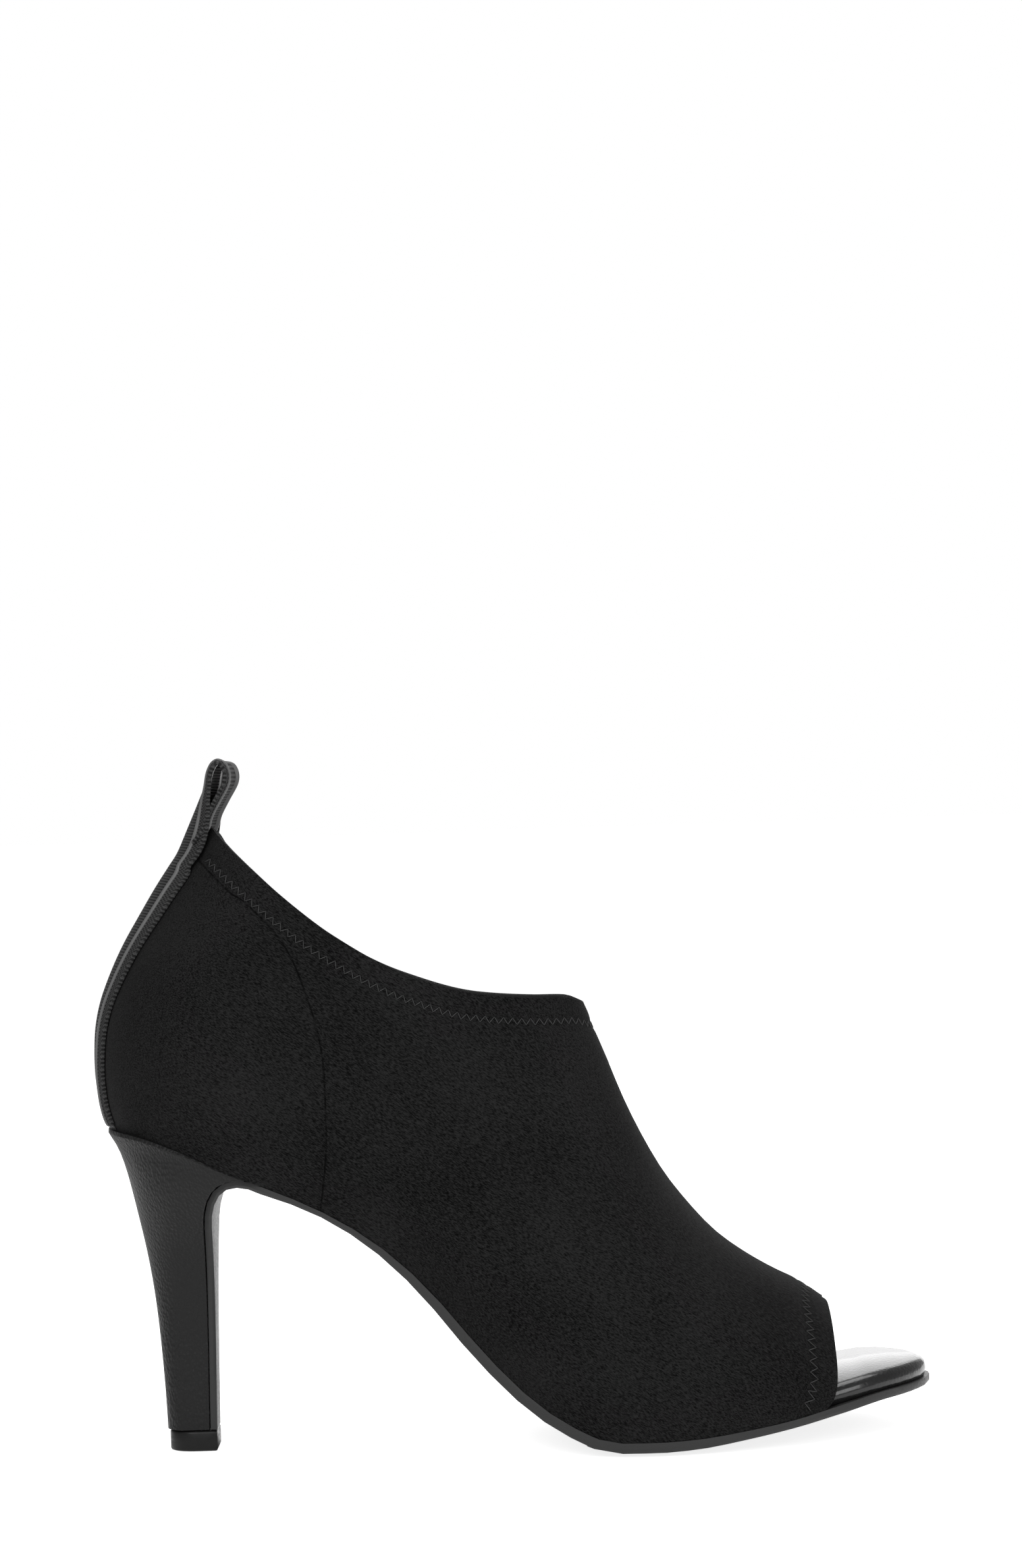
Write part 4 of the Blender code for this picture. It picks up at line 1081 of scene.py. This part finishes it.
def loop_path(lap, before_lap):
    """The middle line of the loop, from the lap up, over and down inside the shoe."""
    lean = (lap - before_lap).normalized()
    outward = Vector((-lean.z, 0.0, lean.x))
    middle = CLEARANCE + TAPE_THICKNESS / 2
    top = Vector((SEAT_BACK + COLLAR_LEAN, 0.0, COLLAR_HEIGHT))
    path = [lap + outward * middle]
    path += [top + Vector((row.forward, 0.0, row.rise)) * LOOP_RISE for row in LOOP_CURVE]
    return path + [BACK.offset(share, middle) for share in (LOOP_HANG, LOOP_END)]


def tape_rows():
    """The tape's inner face, row by row from its foot to the end of the loop."""
    columns = [y for y, _ in tape_columns()]
    start = SEAT_HEIGHT + CLEARANCE + TAPE_FOOT
    heights = [blend(start, LAP_HEIGHT, i / TAPE_CLIMBS) for i in range(TAPE_CLIMBS + 1)]
    rows = []
    for z in heights:
        spread = 1 + LAP_SPREAD * eased((z - start) / (LAP_HEIGHT - start))
        ys = [y * spread for y in columns]
        roof = TAPE_ROOF * eased((z - start) / (LAP_HEIGHT - start))
        rows.append([Vector((back_surface(y, z) - roof * (1 - abs(y) / ys[0]), y, z)) for y in ys])
    centre = len(ys) // 2
    sag = [point.x - rows[-1][centre].x for point in rows[-1]]
    track = soft_track(loop_path(rows[-1][centre], rows[-3][centre]))
    reach = 0.01
    for step in range(1, LOOP_STEPS + 1):
        share = step / LOOP_STEPS
        point = track.offset(share, -TAPE_THICKNESS / 2)
        ahead = track.at(share + reach) - track.at(share - reach)
        upright = abs(ahead.normalized().z)
        flatter = 1 - eased((share - LOOP_BENT) / (LOOP_FLAT - LOOP_BENT))
        droop = [FAR_DROOP * eased(y / TAPE_WIDTH * 2) for y in ys]
        forward = [upright * (dip * flatter + more) for dip, more in zip(sag, droop)]
        rows.append([point + Vector((lead, y, 0.0)) for lead, y in zip(forward, ys)])
    return rows


def make_tape(material):
    """The tape as one grid with its wall, its weave mapped in metres."""
    columns, rows = tape_columns(), tape_rows()
    across, along = len(columns) - 1, len(rows) - 1
    bm = bmesh.new()
    bmesh.ops.create_grid(bm, x_segments=across, y_segments=along, size=0.5)
    thick = bm.verts.layers.deform.verify()
    weave = bm.loops.layers.uv.new("weave")
    centre = across // 2
    runs = [0.0]
    for before, after in zip(rows, rows[1:]):
        runs.append(runs[-1] + (after[centre] - before[centre]).length)
    places = {}
    for vertex in bm.verts:
        column = round((vertex.co.x + 0.5) * across)
        row = round((vertex.co.y + 0.5) * along)
        vertex.co = rows[row][column]
        vertex[thick][0] = columns[column][1]
        places[vertex] = (column, row)
    for face in bm.faces:
        for loop in face.loops:
            column, row = places[loop.vert]
            loop[weave].uv = (columns[column][0], runs[row])
    bm.normal_update()
    for vertex, (column, row) in places.items():
        if row <= TAPE_CLIMBS:
            vertex.co += vertex.normal * CLEARANCE
    piece = new_piece("woven_tape", bm, material, smooth_angle=ALL_SMOOTH)
    walled(piece, WEAVE_DEPTH, 1.0, "weave")
    soft = piece.modifiers.new("soft", "SUBSURF")
    soft.levels = 2
    soft.render_levels = 2
    print("tape", round(runs[-1] * 1000), "mm long")
    return piece


# %% [markdown]
# The weave reads the tape's own map, in metres: across it and along it. Object coordinates would
# cut the ribs at a slant where the tape bends, and its map bends with it. Ribs nearly a millimetre
# apart fill the middle, the ridges stay smooth and shiny, the borders have the small bumps of a knit,
# and a row of needle holes runs along their edges. The colour follows this relief: painted shade in the
# troughs and holes, and a painted highlight on the crests and on the ridges.

# %% The weave of the tape
RIB = 0.00085
KNIT = 0.0009
HOLE_PITCH = 0.0012
FLUFF = 0.0003
RIBBED_END = (0.59, 0.62)    # shares of half the width: the ribs end, the border starts, the holes start
BORDER_START = (0.74, 0.77)
HOLES_START = (0.90, 0.95)


def webbing_finish():
    """Black woven tape: ribs, two smooth ridges with a painted highlight, and knitted borders, with painted
    shade and highlight following the weave's relief.
    """
    tape = Finish("webbing", black(0.012), 0.75, Specular_IOR_Level=0.20)
    uv = tape.nodes.new("ShaderNodeUVMap")
    uv.uv_map = "weave"
    split = tape.nodes.new("ShaderNodeSeparateXYZ")
    tape.links.new(uv.outputs[0], split.inputs[0])
    out = tape.math("ABSOLUTE", split.outputs[0])
    along = split.outputs[1]
    half = TAPE_WIDTH / 2
    ribbed = tape.span(out, *(share * half for share in RIBBED_END), 1.0, 0.0)
    border = tape.span(out, *(share * half for share in BORDER_START))
    ridge_with_painted_highlight = tape.math("SUBTRACT", tape.math("SUBTRACT", 1.0, ribbed), border)
    ribs = tape.math("SINE", tape.math("MULTIPLY", along, 2 * math.pi / RIB))
    rows = tape.math("SINE", tape.math("MULTIPLY", along, 2 * math.pi / KNIT))
    wales = tape.math("SINE", tape.math("MULTIPLY", out, 2 * math.pi / KNIT))
    knit = tape.math("MULTIPLY", rows, wales)
    holes = tape.math("SINE", tape.math("MULTIPLY", along, 2 * math.pi / HOLE_PITCH))
    edge = tape.span(out, *(share * half for share in HOLES_START))
    weave_relief_and_painted_light = tape.math("ADD", tape.math("MULTIPLY", ribs, ribbed), tape.math("MULTIPLY", knit, border))
    weave_relief_and_painted_light = tape.math("ADD", weave_relief_and_painted_light, tape.math("MULTIPLY", holes, edge))
    fluff = tape.noise(tape.place(grain=(FLUFF, FLUFF, FLUFF)), 2.0)
    relief = tape.bump(weave_relief_and_painted_light, 0.00025, 1.0)
    relief = tape.bump(fluff, 0.0001, 0.5, relief)
    # The colour follows the weave's relief: painted shade in its troughs and needle holes, a painted
    # highlight on its crests
    colour = tape.between(tape.span(weave_relief_and_painted_light, -1.0, 1.0), black(0.003), black(0.036))
    # The ridges are painted lighter: a painted highlight, on top of their real lower roughness
    colour = tape.between(ridge_with_painted_highlight, colour, black(0.075))
    return tape.finish(colour=colour, roughness=tape.span(ridge_with_painted_highlight, 0.0, 1.0, 0.8, 0.34), normal=relief)


woven_tape = make_tape(webbing_finish())
standing(woven_tape, "webbing", "back_tape")

# %% [markdown]
# The heel, outsole, footbed and tip keep the forms of their solids. A solid is a bag of loose
# triangles, so a copy of each is merged first, and its triangles joined into quads again. Then edges get
# the small rounding that catches the light on a real shoe.

# %% Copies of the harder parts
def merged_copy(node):
    """A bmesh of a solid, its loose triangles merged and, where they are flat, joined into quads."""
    bm = bmesh.new()
    bm.from_mesh(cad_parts[node].data)
    bmesh.ops.remove_doubles(bm, verts=bm.verts, dist=MERGE_REACH)
    flat = {"angle_face_threshold": 0.5, "angle_shape_threshold": 0.9}
    bmesh.ops.join_triangles(bm, faces=bm.faces, **flat)
    print(node, "merged into", len(bm.faces), "faces")
    return bm


# %% [markdown]
# The heel is a plastic core wrapped in thin black leather. Its grain could be carved with a
# sculpting brush, but cells under a millimetre across in the bump do the same and stay even. The finish
# is half matt, so the surface is dark but reflects softly.

# %% The covered heel and its tip
GRAIN = 0.0008
GRAIN_STRETCH = 1.4
PORE = 0.00035
HEEL_EDGE = 0.0007           # the rounding of the heel's edges


def leather_finish():
    """Fine-grained black leather, half matt."""
    leather = Finish("heel_leather", black(0.006), 0.50, Specular_IOR_Level=0.15)
    grain = leather.cells(leather.place(grain=(GRAIN, GRAIN, GRAIN * GRAIN_STRETCH)))
    pores = leather.noise(leather.place(grain=(PORE, PORE, PORE)), 3.0)
    wear = leather.noise(leather.place(grain=(0.02, 0.02, 0.03)), 3.0)
    relief = leather.bump(grain, 0.0004, 0.8)
    relief = leather.bump(pores, 0.0002, 0.5, relief)
    roughness = leather.span(wear, 0.3, 0.8, 0.46, 0.58)
    return leather.finish(roughness=roughness, normal=relief)


def hard_finish():
    """The heel tip's hard plastic, with a faint moulded texture."""
    hard = Finish("hard_plastic", black(0.006), 0.36, Specular_IOR_Level=0.14)
    mould = hard.noise(hard.place(grain=(0.0004, 0.0004, 0.0004)), 2.0)
    scuffs = hard.noise(hard.place(grain=(0.004, 0.004, 0.0006)), 4.0)
    roughness = hard.span(scuffs, 0.35, 0.75, 0.30, 0.50)
    return hard.finish(roughness=roughness, normal=hard.bump(mould, 0.00005, 0.4))


heel = new_piece("covered_heel", merged_copy("heel"), leather_finish())
rounded_edges(heel, HEEL_EDGE, 3, SHARP)
standing(heel, "cover", "heel")
heel_tip = new_piece("hard_tip", merged_copy("heel_tip"), hard_finish())
standing(heel_tip, "hard", "heel_tip")

# %% [markdown]
# The outsole is a thin satin sheet whose edge shows all round the shoe. The footbed is soft foam in
# a glossy synthetic leather, rounded over at the toe. A real footbed is pressed down until it
# touches the outsole, so its copy sinks a little. A polished coat lets its top mirror the light behind the
# shoe, as it does in the photograph.

# %% The outsole and the footbed
SOLE_EDGE = 0.0003           # the rounding of the outsole's edges
FOOTBED_SINK = 0.0009        # how far the footbed settles into the gap over the outsole
PEBBLE = 0.0009


def sole_finish():
    """Satin rubber with fine scratches along the sole."""
    rubber = Finish("sole_rubber", black(0.014), 0.42, Specular_IOR_Level=0.26)
    speck = rubber.noise(rubber.place(grain=(0.0003, 0.0003, 0.0003)), 3.0)
    brushed = rubber.noise(rubber.place(grain=(0.012, 0.0006, 0.0006)), 3.0)
    relief = rubber.bump(speck, 0.00006, 0.5)
    roughness = rubber.span(brushed, 0.3, 0.7, 0.36, 0.52)
    return rubber.finish(roughness=roughness, normal=relief)


def footbed_finish():
    """Glossy synthetic leather over foam, with a pebbled grain."""
    polish = {"Specular_IOR_Level": 0.16, "Coat_Weight": 0.5, "Coat_Roughness": 0.12}
    footbed = Finish("footbed_leather", black(0.006), 0.34, **polish)
    pebble = footbed.cells(footbed.place(grain=(PEBBLE, PEBBLE, PEBBLE)))
    pores = footbed.noise(footbed.place(grain=(0.0003, 0.0003, 0.0003)), 3.0)
    relief = footbed.bump(pebble, 0.0002, 0.5)
    relief = footbed.bump(pores, 0.0001, 0.35, relief)
    return footbed.finish(normal=relief)


outsole = new_piece("thin_outsole", merged_copy("outsole"), sole_finish())
rounded_edges(outsole, SOLE_EDGE, 2, SHARP)
standing(outsole, "rubber", "outsole")
footbed_pad = merged_copy("insole")
bmesh.ops.translate(footbed_pad, verts=footbed_pad.verts, vec=(0.0, 0.0, -FOOTBED_SINK))
footbed = new_piece("padded_footbed", footbed_pad, footbed_finish(), smooth_angle=ALL_SMOOTH)
standing(footbed, "padding", "insole")

# %% [markdown]
# The shoe stands on a plain white floor in a bright studio. A lit white paper could be the
# background, but it would also shine in the shoe's rims, and the photograph's rims are dark. So the
# background is a dome that only the camera sees, the floor glows a little so that both meet without a
# line, and the light comes from four large soft lamps: before the shoe, over it, in front of the toe,
# and low behind it, where the footbed's polish mirrors it.

# %% The floor, the room and the lamps
LampRow = namedtuple("LampRow", "name place size power")
LAMPS = (
    LampRow("key", (-0.30, -1.32, 0.90), 0.9, 18.0),
    LampRow("top", (0.25, 0.20, 1.30), 0.9, 12.0),
    LampRow("front", (0.85, -0.85, 0.45), 0.5, 4.5),
    LampRow("back", (0.12, 1.25, 0.45), 1.2, 9.0),
)
WHITE = (1.0, 1.0, 1.0, 1.0)
AIM = Vector((0.09, 0.0, 0.08))
FLOOR_PAINT = (0.60, 0.60, 0.60)
FLOOR_GLOW = 0.80
ROOM_GLOW = 0.35
FLOOR_SIZE = 30.0
DOME_REACH = 14.0


def make_floor():
    """A large plain floor."""
    bm = bmesh.new()
    bmesh.ops.create_grid(bm, x_segments=1, y_segments=1, size=FLOOR_SIZE)
    paint = Finish("floor_paint", FLOOR_PAINT, 0.9, Specular_IOR_Level=0.0)
    paint.set(paint.shader, "Emission Color", WHITE)
    paint.set(paint.shader, "Emission Strength", FLOOR_GLOW)
    new_piece("floor", bm, paint.finish())


def make_dome():
    """A plain white background all round, which the camera sees but which lights nothing."""
    bm = bmesh.new()
    bmesh.ops.create_uvsphere(bm, u_segments=48, v_segments=24, radius=DOME_REACH)
    bmesh.ops.reverse_faces(bm, faces=bm.faces)
    paint = Finish("background_paint", (0.0, 0.0, 0.0), 1.0, Specular_IOR_Level=0.0)
    paint.set(paint.shader, "Emission Color", WHITE)
    paint.set(paint.shader, "Emission Strength", 1.0)
    dome = new_piece("background", bm, paint.finish())
    dome.visible_diffuse = False
    dome.visible_glossy = False
    dome.visible_transmission = False
    dome.visible_shadow = False


def make_room(strength):
    """An even, weak light from all round."""
    world = bpy.data.worlds.new("studio")
    world.use_nodes = True
    background = world.node_tree.nodes["Background"]
    background.inputs["Color"].default_value = WHITE
    background.inputs["Strength"].default_value = strength
    bpy.context.scene.world = world


def make_lamp(row):
    """A square soft lamp that looks at the middle of the shoe."""
    light = bpy.data.lights.new(row.name, "AREA")
    light.size = row.size
    light.energy = row.power
    lamp = bpy.data.objects.new(row.name, light)
    lamp.location = row.place
    lamp.rotation_euler = (AIM - Vector(row.place)).to_track_quat("-Z", "Y").to_euler()
    bpy.context.scene.collection.objects.link(lamp)


make_floor()
make_dome()
make_room(ROOM_GLOW)
for lamp_row in LAMPS:
    make_lamp(lamp_row)
bpy.context.scene.view_settings.view_transform = "Standard"
print("lamps:", len(LAMPS))

# %% [markdown]
# The photograph looks straight at the outer side from about a metre away, level with the pull loop,
# and is turned by nearly two degrees.

# %% The camera
CAMERA_PLACE = (0.0931, -1.0500, 0.1805)
CAMERA_ROLL = math.radians(-1.85)
PIXEL = 0.000182             # the size of one of the photograph's pixels at the shoe's middle
PHOTO_HEIGHT = 2380
SENSOR = 36.0

camera_data = bpy.data.cameras.new("camera")
camera_data.sensor_width = SENSOR
camera_data.lens = -CAMERA_PLACE[1] / PIXEL * SENSOR / PHOTO_HEIGHT
camera = bpy.data.objects.new("camera", camera_data)
level = Matrix.Rotation(math.pi / 2, 4, "X")
camera.matrix_world = Matrix.Translation(CAMERA_PLACE) @ level @ Matrix.Rotation(CAMERA_ROLL, 4, "Z")
bpy.context.scene.collection.objects.link(camera)
bpy.context.scene.camera = camera
print("lens", round(camera_data.lens, 2), "mm")
